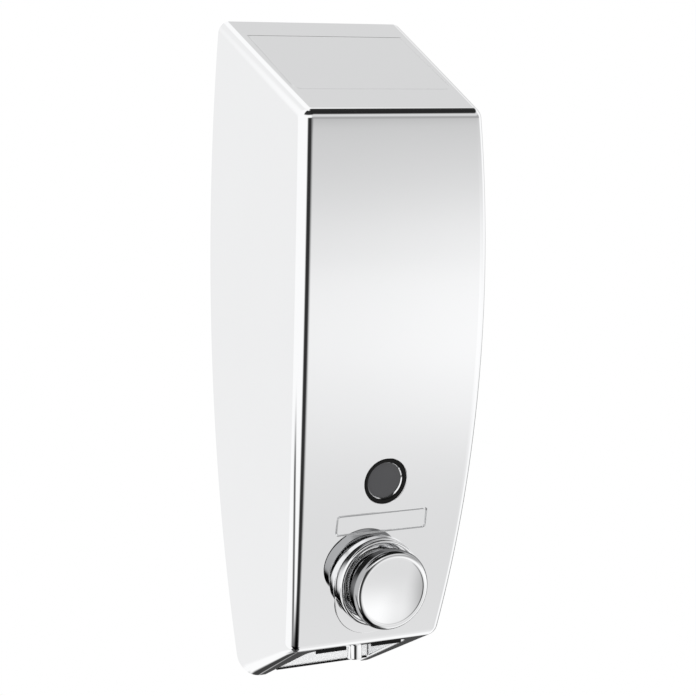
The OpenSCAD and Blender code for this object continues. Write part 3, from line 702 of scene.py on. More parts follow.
def grain(tree, where, scale, detail=3.0, rough=0.5, stretch=None):
    """Noise over a piece, drawn out along an axis where asked."""
    if stretch:
        where = add_node(tree, "ShaderNodeMapping", {"Vector": where, "Scale": stretch}).outputs["Vector"]
    return add_node(tree, "ShaderNodeTexNoise", {"Vector": where, "Scale": scale, "Detail": detail,
                                                 "Roughness": rough}).outputs["Fac"]


def two_tone(tree, fac, base, spread):
    """Colour that drifts a little round a base colour."""
    low = tuple(max(0.0, c * (1 - spread)) for c in base) + (1.0,)
    high = tuple(min(1.0, c * (1 + spread)) for c in base) + (1.0,)
    return add_node(tree, "ShaderNodeMix", {"Factor": fac, 6: low, 7: high}, data_type="RGBA").outputs[2]


def finish_base(name, base, **constants):
    """New material with its constants, its shader and the piece's own coordinates."""
    m = bpy.data.materials.new(name)
    m.use_nodes = True
    m.diffuse_color = (*base, 1.0)
    t = m.node_tree
    shader = t.nodes["Principled BSDF"]
    for key, value in constants.items():
        shader.inputs[key.replace("_", " ")].default_value = value
    where = add_node(t, "ShaderNodeTexCoord").outputs["Object"]
    return m, t, shader, where


def connect(tree, shader, tone, rough, height, strength, depth):
    """Links a colour, a roughness and a fine relief to a shader."""
    bump = add_node(tree, "ShaderNodeBump", {"Strength": strength, "Distance": depth, "Height": height})
    links = {"Base Color": tone, "Roughness": rough, "Normal": bump.outputs["Normal"]}
    for name, out in links.items():
        tree.links.new(out, shader.inputs[name])


def chrome_finish(name, base, edge=1.0):
    """Plate with a faint haze, a slow wave and a trace of orange peel; bright, or darkened where a dark base
    stands in as a painted dark reflection.
    """
    m, t, shader, where = finish_base(name, base, Metallic=1.0, Specular_Tint=(edge, edge, edge, 1.0))
    peel = math_node(t, "MULTIPLY", grain(t, where, 1400.0, 1.0, 0.5), 0.012)
    connect(t, shader, two_tone(t, grain(t, where, 22.0, 4.0, 0.6), base, 0.012),
            span(t, grain(t, where, 160.0, 4.0, 0.65), 0.3, 0.7, 0.012, 0.04),
            math_node(t, "ADD", grain(t, where, 70.0, 1.0, 0.4), peel), 1.0, 0.0000025)
    return m


def plastic_finish(name, base, rough, texture=900.0, depth=0.00002, spread=0.03, clear=0.0, shine=0.5):
    """Moulded plastic or rubber with a fine grain."""
    m, t, shader, where = finish_base(name, base, IOR=1.5, Specular_IOR_Level=shine,
                                      Transmission_Weight=clear)
    connect(t, shader, two_tone(t, grain(t, where, 60.0, 4.0, 0.6), base, spread),
            span(t, grain(t, where, 300.0), 0.3, 0.7, rough - 0.07, rough + 0.07),
            grain(t, where, texture, 3.0, 0.6), 0.6, depth)
    return m


def steel_finish(base):
    """Plain steel with drawn lines."""
    m, t, shader, where = finish_base("plain_steel", base, Metallic=1.0)
    drawn = grain(t, where, 700.0, 4.0, 0.6, stretch=(1.0, 0.08, 1.0))
    connect(t, shader, two_tone(t, drawn, base, 0.1), span(t, drawn, 0.25, 0.75, 0.2, 0.38),
            drawn, 0.5, 0.00001)
    return m


def foam_finish(base):
    """Foam with open cells."""
    m, t, shader, where = finish_base("pad_foam_cells", base)
    cells = add_node(t, "ShaderNodeTexVoronoi", {"Vector": where, "Scale": 1500.0}).outputs["Distance"]
    connect(t, shader, two_tone(t, cells, base, 0.35), span(t, cells, 0.0, 0.7, 0.95, 0.75),
            cells, 0.8, 0.00012)
    return m


def lens_finish(base):
    """Smoked pane with a slight wave."""
    m, t, shader, where = finish_base("smoked_pane", base, IOR=1.49)
    connect(t, shader, two_tone(t, grain(t, where, 120.0), base, 0.05),
            span(t, grain(t, where, 400.0), 0.3, 0.7, 0.06, 0.12), grain(t, where, 150.0, 2.0), 0.4, 0.000004)
    return m


FINISHES = {}


def finish(name):
    """The named finish, made once."""
    if name not in FINISHES:
        c = bpy.context.scene.dispenser_colours
        makers = {
            "chrome": lambda: chrome_finish("bright_chrome", tuple(c.chrome)),
            # darkened plate: a painted dark reflection on the button's side
            "dark_plate": lambda: chrome_finish("dark_plate", tuple(c.button_side_painted_reflection), edge=0.3),
            "steel": lambda: steel_finish(tuple(c.steel)),
            "rubber": lambda: plastic_finish("black_seal", tuple(c.rubber), 0.55, texture=1500.0,
                                             depth=0.00003, spread=0.2, shine=0.12),
            "white": lambda: plastic_finish("pump_plastic", tuple(c.white), 0.38),
            "cover": lambda: plastic_finish("cover_gloss", tuple(c.cover), 0.3, texture=700.0, depth=0.00001),
            "bracket": lambda: plastic_finish("bracket_matt", tuple(c.bracket), 0.5, texture=1100.0,
                                              depth=0.00004),
            "foam": lambda: foam_finish(tuple(c.foam)),
            "tank": lambda: plastic_finish("tank_natural", tuple(c.tank), 0.35, texture=500.0, spread=0.02,
                                           clear=0.65),
            "lens": lambda: lens_finish(tuple(c.lens)),
            "black": lambda: plastic_finish("retainer_black", tuple(c.black), 0.45),
            "valve": lambda: plastic_finish("valve_blue", tuple(c.valve), 0.4),
        }
        FINISHES[name] = makers[name]()
    return FINISHES[name]


def settle(obj, finish_name, body, slot, *nodes):
    """Gives a piece its finish, its body and the nodes that it stands for."""
    obj.data.materials.clear()
    obj.data.materials.append(finish(finish_name))
    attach(obj, body)
    if nodes:
        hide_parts(*nodes)
    return obj


def dress(node, finish_name, edge=0.0):
    """Gives a packed node its finish, and rounds its edges a little."""
    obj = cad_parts[node]
    if not obj.material_slots:
        obj.data.materials.append(finish(finish_name))
    for s in obj.material_slots:
        s.link = "OBJECT"
        s.material = finish(finish_name)
    if edge:
        weld = obj.modifiers.new("weld", "WELD")
        weld.merge_threshold = 0.001 * MM
        bevel = obj.modifiers.new("edge", "BEVEL")
        bevel.width, bevel.segments = edge * MM, 2
        bevel.limit_method, bevel.angle_limit = "ANGLE", math.radians(40)
        bevel.harden_normals = True
    return obj


class DISPENSER_OT_shell(bpy.types.Operator):
    """Build the chrome shell with its recesses, holes, notch and inner bosses"""
    bl_idname = "dispenser.shell"
    bl_label = "Chrome shell"

    def execute(self, context):
        scene = context.scene
        s, lid, f = scene.dispenser_shell, scene.dispenser_lid, scene.dispenser_front
        form = form_of(context)
        wall = s.wall / MM
        points, outs, faces = form.skin()
        shell = make_piece("shell", points, faces)
        inner = make_piece("cut_inner", *form.inside(wall, wall, s.roof / MM, s.floor / MM))
        notch = make_piece("cut_notch", *self.notch(form, s))
        steps = [("DIFFERENCE", inner)]
        steps += [("UNION", piece) for piece in self.seat_adds(form, s, f)]
        steps += [("DIFFERENCE", piece) for piece in self.lid_cuts(form, s, lid)]
        steps += [("DIFFERENCE", piece) for piece in self.front_cuts(form, s, f)]
        steps += [("DIFFERENCE", notch)]
        carve(shell, steps)
        keep_true_normals(shell, points, outs, faces)
        join_islands(shell, self.bosses(form, s))
        settle(shell, "chrome", "dispenser", "chrome_plate", "housing")
        return {"FINISHED"}

    def seat_adds(self, form, s, f):
        """Boss behind the panel, the collar's seat and the thin pad below the collar."""
        collar_r, pad_r, pad_out = f.collar_radius / MM, f.pad_radius / MM, f.pad_out / MM
        boss = make_piece("add_boss", *self.boss(form, s, f.seat_radius / MM))
        rod = rod_section(collar_r - PLAY, form.seat_in + 0.6, 0.4)
        seat = make_piece("add_seat", *lathe(rod, 160), place=form.on_button())
        pad_in, pad_edge, pad_turn = -0.8, 0.2, 0.011
        section = [(0, pad_in), (pad_r, pad_in)]
        section += arc(pad_r - pad_edge, pad_out - pad_edge, pad_edge, 0, 90, 6) + [(0, pad_out)]
        # a slight turn keeps the pad's corners off the seat's, which the join needs
        place = form.on_panel(form.button_z - f.pad_fall / MM) @ Matrix.Rotation(pad_turn, 4, "Z")
        pad = make_piece("add_pad", *lathe(section, 150), place=place)
        return boss, seat, pad

    def lid_cuts(self, form, s, lid):
        """Pocket, hinge channel and swing room of the lid, and the filler mouth under it."""
        slope, t = form.on_slope(), lid.thickness / MM
        corner, spare, mouth_less, mouth_past = 3.0, 0.8, 8, 4
        w, n = lid.width / MM + 2 * lid.seam / MM, lid.length / MM + 2 * lid.seam / MM
        back, pin, end, mouth_back, mouth_front = lid_lines(lid)
        outline = moved(round_rect(w, n, corner, square_back=True), (end + back) / 2)
        sections = lip_sections(t + spare, lid.rim / MM)
        pocket = make_piece("cut_pocket", *loft(outline, sections), place=slope)
        axis = on_hinge(slope, pin, t)
        hinge = make_piece("cut_hinge", *lathe(rod_section(t + lid.gap / MM, -w / 2, w / 2), 64), place=axis)
        sweep, short = t * math.sqrt(2) + 0.12, 0.01
        half_round = [(sweep * x, sweep * y, 0, 0) for x, y in circle(48)[:25]]
        ends = [(0, short - w / 2), (0, w / 2 - short)]
        swing = make_piece("cut_swing", *loft(half_round, ends), place=axis)
        outline = moved(round_rect(lid.width / MM - mouth_less, mouth_back - mouth_front, corner),
                        (mouth_back + mouth_front) / 2)
        ends = [(0, -s.roof / MM - mouth_past), (0, -t - spare / 2)]
        mouth = make_piece("cut_mouth", *loft(outline, ends), place=slope)
        return pocket, hinge, swing, mouth

    def front_cuts(self, form, s, f):
        """Window hole, label recess, and the button's hole with its collar recess."""
        lip, r, collar_r = s.lip / MM, f.window_radius / MM, f.collar_radius / MM
        hole = [(x * r, y * r, x, y) for x, y in circle(128)]
        window = make_piece("cut_window", *loft(hole, lip_sections(12, lip), form.bend),
                            place=form.on_panel(form.window_z))
        field = round_rect(f.label_width / MM, f.label_tall / MM, 1.0)
        label = make_piece("cut_label", *loft(field, lip_sections(f.label_deep / MM, lip), form.bend),
                           place=form.on_panel(form.label_z))
        hole_r, ring_r = collar_r - HOLE_SET, collar_r + 0.15
        inside, outside = form.seat_in - 6, 20
        section = [(0, inside), (hole_r, inside), (hole_r, COLLAR_FOOT), (ring_r, COLLAR_FOOT),
                   (ring_r, outside), (0, outside)]
        neck = make_piece("cut_neck", *lathe(section, 128), place=form.on_button())
        return window, label, neck

    def boss(self, form, s, r):
        """Flat boss behind the panel, square to the button, that ends inside the panel's wall."""
        to_button, seat_in = form.on_button(), form.seat_in
        count, beyond = 120, 10.0

        def meet(x, y):
            p, q = to_button @ Vector((x, y, seat_in)), to_button @ Vector((x, y, beyond))
            for _ in range(30):
                mid = (p + q) / 2
                inside = -mid.y < form.reach(mid.z) - s.wall / MM / 2
                p, q = (mid, q) if inside else (p, mid)
            return tuple(p)

        ring = circle(count)
        points = [tuple(to_button @ Vector((0, 0, seat_in)))]
        points += [tuple(to_button @ Vector((r * x, r * y, seat_in))) for x, y in ring]
        shares = (1.0, 0.75, 0.5, 0.25)
        for share in shares:
            points += [meet(r * share * x, r * share * y) for x, y in ring]
        points.append(meet(0, 0))
        faces = []
        last = 1 + len(shares) * count
        for k in range(count):
            m = (k + 1) % count
            faces.append([0, 1 + m, 1 + k])
            for j in range(len(shares)):
                a, b = 1 + count * j, 1 + count * (j + 1)
                faces.append([a + k, a + m, b + m, b + k])
            faces.append([last + k, last + m, len(points) - 1])
        return points, faces

    def notch(self, form, s):
        """Upright cutter for the notch, open to the wall."""
        w, d, past_wall, high, deep, flare = s.notch_width / MM, form.notch_d, 1.0, 30.0, -8.0, 0.02
        front = [p for p in moved(round_rect(w, d, 3.0), -d / 2) if p[1] < -3.5]
        outline = [(w / 2, past_wall, 1, 0), (-w / 2, past_wall, -1, 0)] + front
        lip = s.notch_lip / MM
        turned = [(run, lip - rise) for run, rise in rounding(lip, 78, 6)]
        wide = turned[-1][0] + flare
        sections = [(0, high)] + turned + [(wide, -flare), (wide, deep)]
        return loft(outline, sections, lambda x, y: form.low - y * math.tan(form.bottom[0]))

    def bosses(self, form, s):
        """Screw bosses, their ribs and the tank's two shelves."""
        made = []
        wall, cover_y, boss_long, boss_r, bore_r, edge = s.wall / MM, -6.05, 9, 3.4, 1.55, 0.3
        rib_half, shelf_front, shelf_back, shelf_thick = 1.2, -33.6, -13.6, 2.4
        z = form.button_z - 5
        x = form.half_width(z) - wall - 4.6
        tank_z = form.window_z - 7.45 - 1.2
        for side in (-1, 1):
            place = Matrix.Translation((side * x, cover_y, z)) @ Matrix.Rotation(math.pi / 2, 4, "X")
            tube = ring_section(boss_r, bore_r, 0, boss_long, 0.25)
            made.append(make_piece("boss", *lathe(tube), place=place))
            far = form.half_width(z) - wall / 2
            low, high = sorted((side * (x + 3.2), side * (far - 1.0)))
            made.append(box_piece("rib", (low, cover_y - boss_long, z - rib_half),
                                  (high, cover_y, z + rib_half), edge))
            far = form.half_width(tank_z) - wall / 2
            low, high = sorted((side * (far - 10.0), side * (far - 2.2)))
            made.append(box_piece("shelf", (low, shelf_front, tank_z - shelf_thick),
                                  (high, shelf_back, tank_z - PLAY), edge))
        return [soften(piece) for piece in made]


class DISPENSER_OT_lid(bpy.types.Operator):
    """Build the filler lid with its rounded rim and hinge knuckle"""
    bl_idname = "dispenser.lid"
    bl_label = "Filler lid"

    def execute(self, context):
        s = context.scene.dispenser_lid
        slope = form_of(context).on_slope()
        w, n, t = s.width / MM, s.length / MM, s.thickness / MM
        back, pin, end, _, _ = lid_lines(s)
        outline = moved(round_rect(w, n, 2.7, 10, square_back=True), (back + end) / 2)
        sections = plate_sections(t, s.rim / MM, 0.2)
        plate = soften(make_piece("filler_lid", *loft(outline, sections), place=slope), SHARP_FLAT)
        pin_r, edge = 0.85, 0.2
        section = [(pin_r, PLAY - w / 2)] + arc(t - edge, edge - w / 2, edge, -90, 0, 4)
        section += arc(t - edge, w / 2 - edge, edge, 0, 90, 4) + [(pin_r, w / 2 - PLAY)]
        knuckle = soften(make_piece("knuckle", *lathe(section), place=on_hinge(slope, pin, t)))
        join_islands(plate, [knuckle])
        settle(plate, "chrome", "lid", "chrome_plate", "lid")
        return {"FINISHED"}


class DISPENSER_OT_window(bpy.types.Operator):
    """Build the smoked window, its black ring and the blank label plate"""
    bl_idname = "dispenser.window"
    bl_label = "Window and label"

    def execute(self, context):
        f = context.scene.dispenser_front
        form = form_of(context)
        place = form.on_panel(form.window_z)
        r = f.window_radius / MM
        inner, deep = r - f.window_ring / MM, -2.5
        section = [(0, deep), (inner - 0.25, deep)] + arc(inner - 0.35, -1.2, 0.2, 0, 90, 6)
        section += [(inner - 1.2, -0.98), (0, -0.95)]
        pane = soften(make_piece("window_pane", *lathe(section), place=place))
        settle(pane, "lens", "dispenser", "smoked_lens", "window_lens")
        section = ring_section(r - PLAY, inner, deep, -0.15, 0.3, 6)
        rim = soften(make_piece("window_ring", *lathe(section), place=place))
        settle(rim, "rubber", "dispenser", "black_rubber", "window_gasket")
        # thin bright cone between the ring and the pane
        section = [(inner - 0.02, -1.5), (inner - 0.02, -0.65), (inner - 0.05, -0.62),
                   (inner - 0.33, -0.9), (inner - 0.36, -0.94), (inner - 0.36, -1.5)]
        sleeve = soften(make_piece("window_sleeve", *lathe(section), place=place))
        settle(sleeve, "chrome", "dispenser", "chrome_plate")
        dress("window_retainer", "black", 0.2)
        gap = 0.7
        outline = round_rect(f.label_width / MM - gap, f.label_tall / MM - gap, 0.8)
        sections = [(o, h - PLAY) for o, h in plate_sections(f.label_deep / MM - PLAY, 0.15)]
        plate = make_piece("label_plate", *loft(outline, sections, form.bend),
                           place=form.on_panel(form.label_z))
        settle(soften(plate, SHARP_FLAT), "chrome", "dispenser", "chrome_plate", "label_strip")
        return {"FINISHED"}


class DISPENSER_OT_button(bpy.types.Operator):
    """Build the dished button with its side and neck, and the collar round it"""
    bl_idname = "dispenser.button"
    bl_label = "Button and collar"

    def execute(self, context):
        f = context.scene.dispenser_front
        place = form_of(context).on_button()
        neck, low, inside = f.neck_radius / MM, f.cap_low / MM, f.neck_radius / MM - 1.6
        dome, band = self.head(f, low, inside)
        ring, edge = neck + 0.74, 0.2
        skirt = [(inside, -1.0)] + arc(ring - edge, -0.8, edge, -90, 0, 3)
        skirt += arc(ring - edge, 0.8, edge, 0, 90, 3)
        skirt += [(neck, 1.3), (neck, low + PLAY), (inside, low + PLAY)]
        for name, section, finish_name, body, *nodes in (
                ("button_dome", dome, "chrome", "button", "button_cap"),
                ("button_band", band, "dark_plate", "button"),
                # the side's darker plate is a painted dark reflection
                ("button_skirt", skirt, "chrome", "button"),
                ("collar_ring", self.collar(f, neck), "chrome", "dispenser", "button_collar")):
            piece = soften(make_piece(name, *lathe(section, 192), place=place))
            settle(piece, finish_name, body, "chrome_plate", *nodes)
        return {"FINISHED"}

    def head(self, f, low, inside):
        """Sections of the dished face with its bright rim, and of the side with its hollow, whose darker
        plate is a painted dark reflection.
        """
        r, out, dish, rim_r = f.cap_radius / MM, f.cap_out / MM, f.dish / MM, f.cap_rim / MM
        span_r = r - rim_r
        ball = (span_r ** 2 + dish ** 2) / (2 * dish)
        turn = math.degrees(math.asin(span_r / ball))
        steps, split = 36, 53.0
        runs = [span_r * i / steps for i in range(steps)]
        face = [(q, out - dish + ball - math.sqrt(ball ** 2 - q * q)) for q in runs]
        rim = arc(span_r, out - rim_r, rim_r, 90 + 0.6 * turn, split, 12)
        under = out - dish - 1.2
        shelf_r, shelf = rim[-1][0] - 0.25, rim[-1][1] - 0.45
        dome = face + rim + [(shelf_r, shelf), (0, under)]
        waist, foot_r = r - 0.25, 0.6
        side = arc(span_r, out - rim_r, rim_r, split - 0.5, 0, 18) + [(waist, low + 0.8)]
        side += arc(waist - foot_r, low + foot_r, foot_r, 0, -90, 8)
        stem_r, rod_r, roof, stem_end = 4.2, 2.42, out - 3.4, out - 8.0
        hollow = [(inside, low), (inside, roof), (stem_r, roof), (stem_r, stem_end), (rod_r, stem_end),
                  (rod_r, out - 3.6), (0, out - 3.6)]
        return dome, [(0, under - PLAY), (shelf_r, shelf - PLAY)] + side + hollow

    def collar(self, f, neck):
        """Section of the collar, with a step inside that the button sinks into."""
        c, out, rim_r, edge = f.collar_radius / MM, f.collar_out / MM, 0.8, 0.2
        foot_r, bore, wide, step, lip = c - 1.05, neck + 0.75, f.cap_radius / MM + 0.1, out - 2.15, 0.3
        section = [(foot_r, COLLAR_FOOT)] + arc(c - edge, COLLAR_FOOT + edge, edge, -90, 0, 4) + [(c, 1.6)]
        section += arc(c - rim_r, out - rim_r, rim_r, 0, 90, 14) + arc(wide + lip, out - lip, lip, 90, 180, 6)
        section += [(wide, step)] + arc(bore + edge, step - edge, edge, 90, 180, 3)
        return section + [(bore, step - 0.6), (foot_r, step - 0.6)]


class DISPENSER_OT_nozzle(bpy.types.Operator):
    """Build the nozzle with its bored, rounded tip, and the black trims in the notch that paint shadow there
    """
    bl_idname = "dispenser.nozzle"
    bl_label = "Nozzle and trims"

    def execute(self, context):
        d, z0, z1 = upright("nozzle")
        r = context.scene.dispenser_pump.nozzle_radius / MM
        bore, tip_r, wide, edge, socket = 1.4, 0.45, r + 0.5, 0.3, z1 - 2.45
        section = [(bore, z0 + 0.3)] + arc(r - tip_r, z0 + tip_r, tip_r, -90, 0, 6) + [(r, z1 - 3.3)]
        section += arc(wide - edge, z1 - 2.85, edge, -90, 0, 4) + arc(wide - edge, z1 - edge, edge, 0, 90, 4)
        section += [(r - 0.36, z1), (r - 0.36, socket), (bore, socket)]
        tip = soften(make_piece("nozzle_tip", *lathe(section, 72), place=Matrix.Translation((0, -d, 0))))
        settle(tip, "chrome", "dispenser", "chrome_plate", "nozzle")
        dress("outlet_elbow", "white", 0.25)
        self.trims(context)
        return {"FINISHED"}

    def trims(self, context):
        """Black strips that paint shadow: a lip on the notch's front edge for the dark gap above the cover,
        and a strip along the cover's foot for the shadow line under it.
        """
        s, form = context.scene.dispenser_shell, form_of(context)
        rise, thick, edge, cover_d, lip_out = math.tan(form.bottom[0]), 0.5, 0.2, 6.2, 0.26
        inner, outer = 4.5, s.notch_width / MM / 2 - 1.9
        sections = [(-0.12, -0.9), (0.0, -0.75), (0.0, 2.9), (-0.12, 3.0)]
        # black lip: painted shadow under the notch's front edge, in two halves either side of the middle
        halves = []
        for side in (-1, 1):
            place = Matrix.Translation((side * (inner + outer) / 2, lip_out - form.notch_d,
                                        form.low + form.notch_d * rise))
            outline = round_rect(outer - inner, thick, edge)
            halves.append(soften(make_piece("painted_shadow_lip", *loft(outline, sections), place=place)))
        join_islands(halves[0], halves[1:])
        settle(halves[0], "rubber", "dispenser", "black_rubber")
        # black strip: painted shadow line along the cover's foot
        sections = [(-0.1, 0.02), (0.0, 0.12), (0.0, 0.5), (-0.1, 0.6)]
        foot = make_piece("painted_shadow_strip", *loft(round_rect(s.notch_width / MM - 1.0, thick, edge), sections),
                          place=Matrix.Translation((0, -cover_d, form.low + cover_d * rise)))
        settle(soften(foot), "rubber", "dispenser", "black_rubber")


class DISPENSER_OT_seals(bpy.types.Operator):
    """Build the rubber seals with rounded edges"""
    bl_idname = "dispenser.seals"
    bl_label = "Rubber seals"

    def execute(self, context):
        scene = context.scene
        form = form_of(context)
        button = form.on_button()
        self.round_seals(form, scene.dispenser_front, scene.dispenser_pump, button)
        self.piston_rings(scene.dispenser_pump, button)
        self.lid_seal(scene.dispenser_lid, form.on_slope())
        return {"FINISHED"}

    def round_seals(self, form, f, p, button):
        """Flat seal behind the panel, the plug's seal and the tank's grommet."""
        seat_r, hole_r, bore = f.seat_radius / MM, f.collar_radius / MM - HOLE_SET, p.bore / MM
        seat, end, slack = form.seat_in, form.plug_face(), 0.02
        d, z0, z1 = upright("tank_grommet")
        inner, edge, wide = 4.55, 0.2, 6.8
        grommet = [(inner, z0 + 0.15)] + arc(5.25, z0 + edge, edge, -90, 0, 4) + [(5.45, z1 - 0.7)]
        grommet += arc(wide, z1 - 0.5, edge, -90, 0, 4) + arc(wide, z1 - edge, edge, 0, 90, 4)
        grommet += [(4.7, z1), (inner, z1 - 0.15)]
        panel = ring_section(seat_r - 0.2, hole_r, seat - 1.18, seat - slack, 0.25)
        plug = ring_section(bore + 1.7, bore, end - 0.78, end - slack, 0.2)
        for name, section, place, node in (
                ("panel_seal", panel, button, "panel_gasket"),
                ("plug_seal", plug, button, "end_cap_seal"),
                ("spigot_grommet", grommet, Matrix.Translation((0, -d, 0)), "tank_grommet")):
            seal = soften(make_piece(name, *lathe(section), place=place))
            settle(seal, "rubber", "dispenser", "black_rubber", node)

    def piston_rings(self, p, button):
        """Two round rings in the piston's grooves."""
        bore, piston, wire_r, shares = p.bore / MM, p.piston / MM, 0.5, (0.3, 0.7)
        back = PISTON_REST - p.stroke / MM - piston
        rings = []
        for share in shares:
            mid = back + share * piston
            section = [(bore - 0.53 + wire_r * x, mid + wire_r * y) for x, y in circle(20)]
            rings.append(soften(make_piece("piston_seals", *lathe(section, 72), place=button)))
        join_islands(rings[0], rings[1:])
        settle(rings[0], "rubber", "button", "black_rubber", "piston_rings")

    def lid_seal(self, lid, slope):
        """Flat seal round the filler mouth."""
        w, t = lid.width / MM, lid.thickness / MM
        _, pin, end, mouth_back, mouth_front = lid_lines(lid)
        back = pin - t - lid.gap / MM
        outer = moved(round_rect(w - 1, back - end - 1, 2.5, 10), (back + end) / 2)
        inner = moved(round_rect(w - 7, mouth_back - mouth_front + 1, 3.5, 10),
                      (mouth_back + mouth_front) / 2)
        seal = make_piece("mouth_seal", *self.band(outer, inner, -t - 0.8, -t - PLAY, 0.22), place=slope)
        settle(soften(seal), "rubber", "dispenser", "black_rubber", "lid_seal")

    def band(self, outer, inner, z0, z1, e):
        """Flat band between two outlines with rounded edges."""
        loops = [(outer, o, h) for o, h in arc(-e, z0 + e, e, -90, 0, 4) + arc(-e, z1 - e, e, 0, 90, 4)]
        loops += [(inner, -o, h) for o, h in arc(-e, z1 - e, e, 90, 0, 4) + arc(-e, z0 + e, e, 0, -90, 4)]
        points, rings = [], []
        for outline, offset, h in loops:
            rings.append(list(range(len(points), len(points) + len(outline))))
            points += [(x + nx * offset, y + ny * offset, h) for x, y, nx, ny in outline]
        count = len(outer)
        faces = [[a[k], a[(k + 1) % count], b[(k + 1) % count], b[k]]
                 for a, b in zip(rings, rings[1:] + rings[:1]) for k in range(count)]
        return points, faces


class DISPENSER_OT_springs(bpy.types.Operator):
    """Wind the return spring and the outlet spring"""
    bl_idname = "dispenser.springs"
    bl_label = "Springs"

    def execute(self, context):
        p = context.scene.dispenser_pump
        form = form_of(context)
        button = form.on_button()
        turns = 4
        end = form.plug_face() + 1.65
        tall = PISTON_REST - (p.stroke + p.piston) / MM - end - PLAY
        back = make_piece("return_coil", *coil(p.bore / MM - 1.4, p.return_wire / MM, tall, turns),
                          place=button @ Matrix.Translation((0, 0, end)))
        settle(soften(back, SHARP_WIRE), "steel", "dispenser", "steel", "return_spring")
        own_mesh(back)
        d, _, _ = upright("outlet_ball")
        _, z0, z1 = upright("outlet_spring")
        out = make_piece("outlet_coil", *coil(1.3, p.outlet_wire / MM, z1 - z0, turns),
                         place=Matrix.Translation((0, -d, z0)))
        settle(soften(out, SHARP_WIRE), "steel", "dispenser", "steel", "outlet_spring")
        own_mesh(out)
        return {"FINISHED"}


class DISPENSER_OT_pump(bpy.types.Operator):
    """Finish the pump, its valves, the piston and the soap tank"""
    bl_idname = "dispenser.pump"
    bl_label = "Pump and tank"

    def execute(self, context):
        for node in ("pump_body", "pump_end_cap", "piston"):
            dress(node, "white", 0.2)
        for node in ("piston_rod", "piston_nut", "lid_hinge_pin"):
            dress(node, "steel", 0.15)
        for node in ("inlet_ball", "outlet_ball"):
            dress(node, "steel")
        dress("inlet_seat", "valve", 0.15)
        dress("soap_tank", "tank", 0.3)
        return {"FINISHED"}


class DISPENSER_OT_rear(bpy.types.Operator):
    """Finish the wall bracket, its foam pads, the rear cover and its screws"""
    bl_idname = "dispenser.rear"
    bl_label = "Bracket and rear cover"

    def execute(self, context):
        low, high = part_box("adhesive_pads")
        w, deep = (high.x - low.x) / MM, (high.y - low.y) / MM
        half_gap = 20
        tall = (high.z - low.z) / MM / 2 - half_gap
        edge = context.scene.dispenser_pump.pad_edge / MM
        shape = loft(round_rect(w, tall, 2.0), plate_sections(deep, edge, edge))
        upended = Matrix.Rotation(-math.pi / 2, 4, "X")
        pads = []
        for side in (-1, 1):
            place = Matrix.Translation((0, 0, side * (half_gap + tall / 2))) @ upended
            pads.append(soften(make_piece("foam_pads", *shape, place=place)))
        join_islands(pads[0], pads[1:])
        settle(pads[0], "foam", "bracket", "pad_foam", "adhesive_pads")
        dress("wall_bracket", "bracket", 0.3)
        dress("rear_cover", "cover")
        dress("cover_screws", "steel", 0.1)
        return {"FINISHED"}


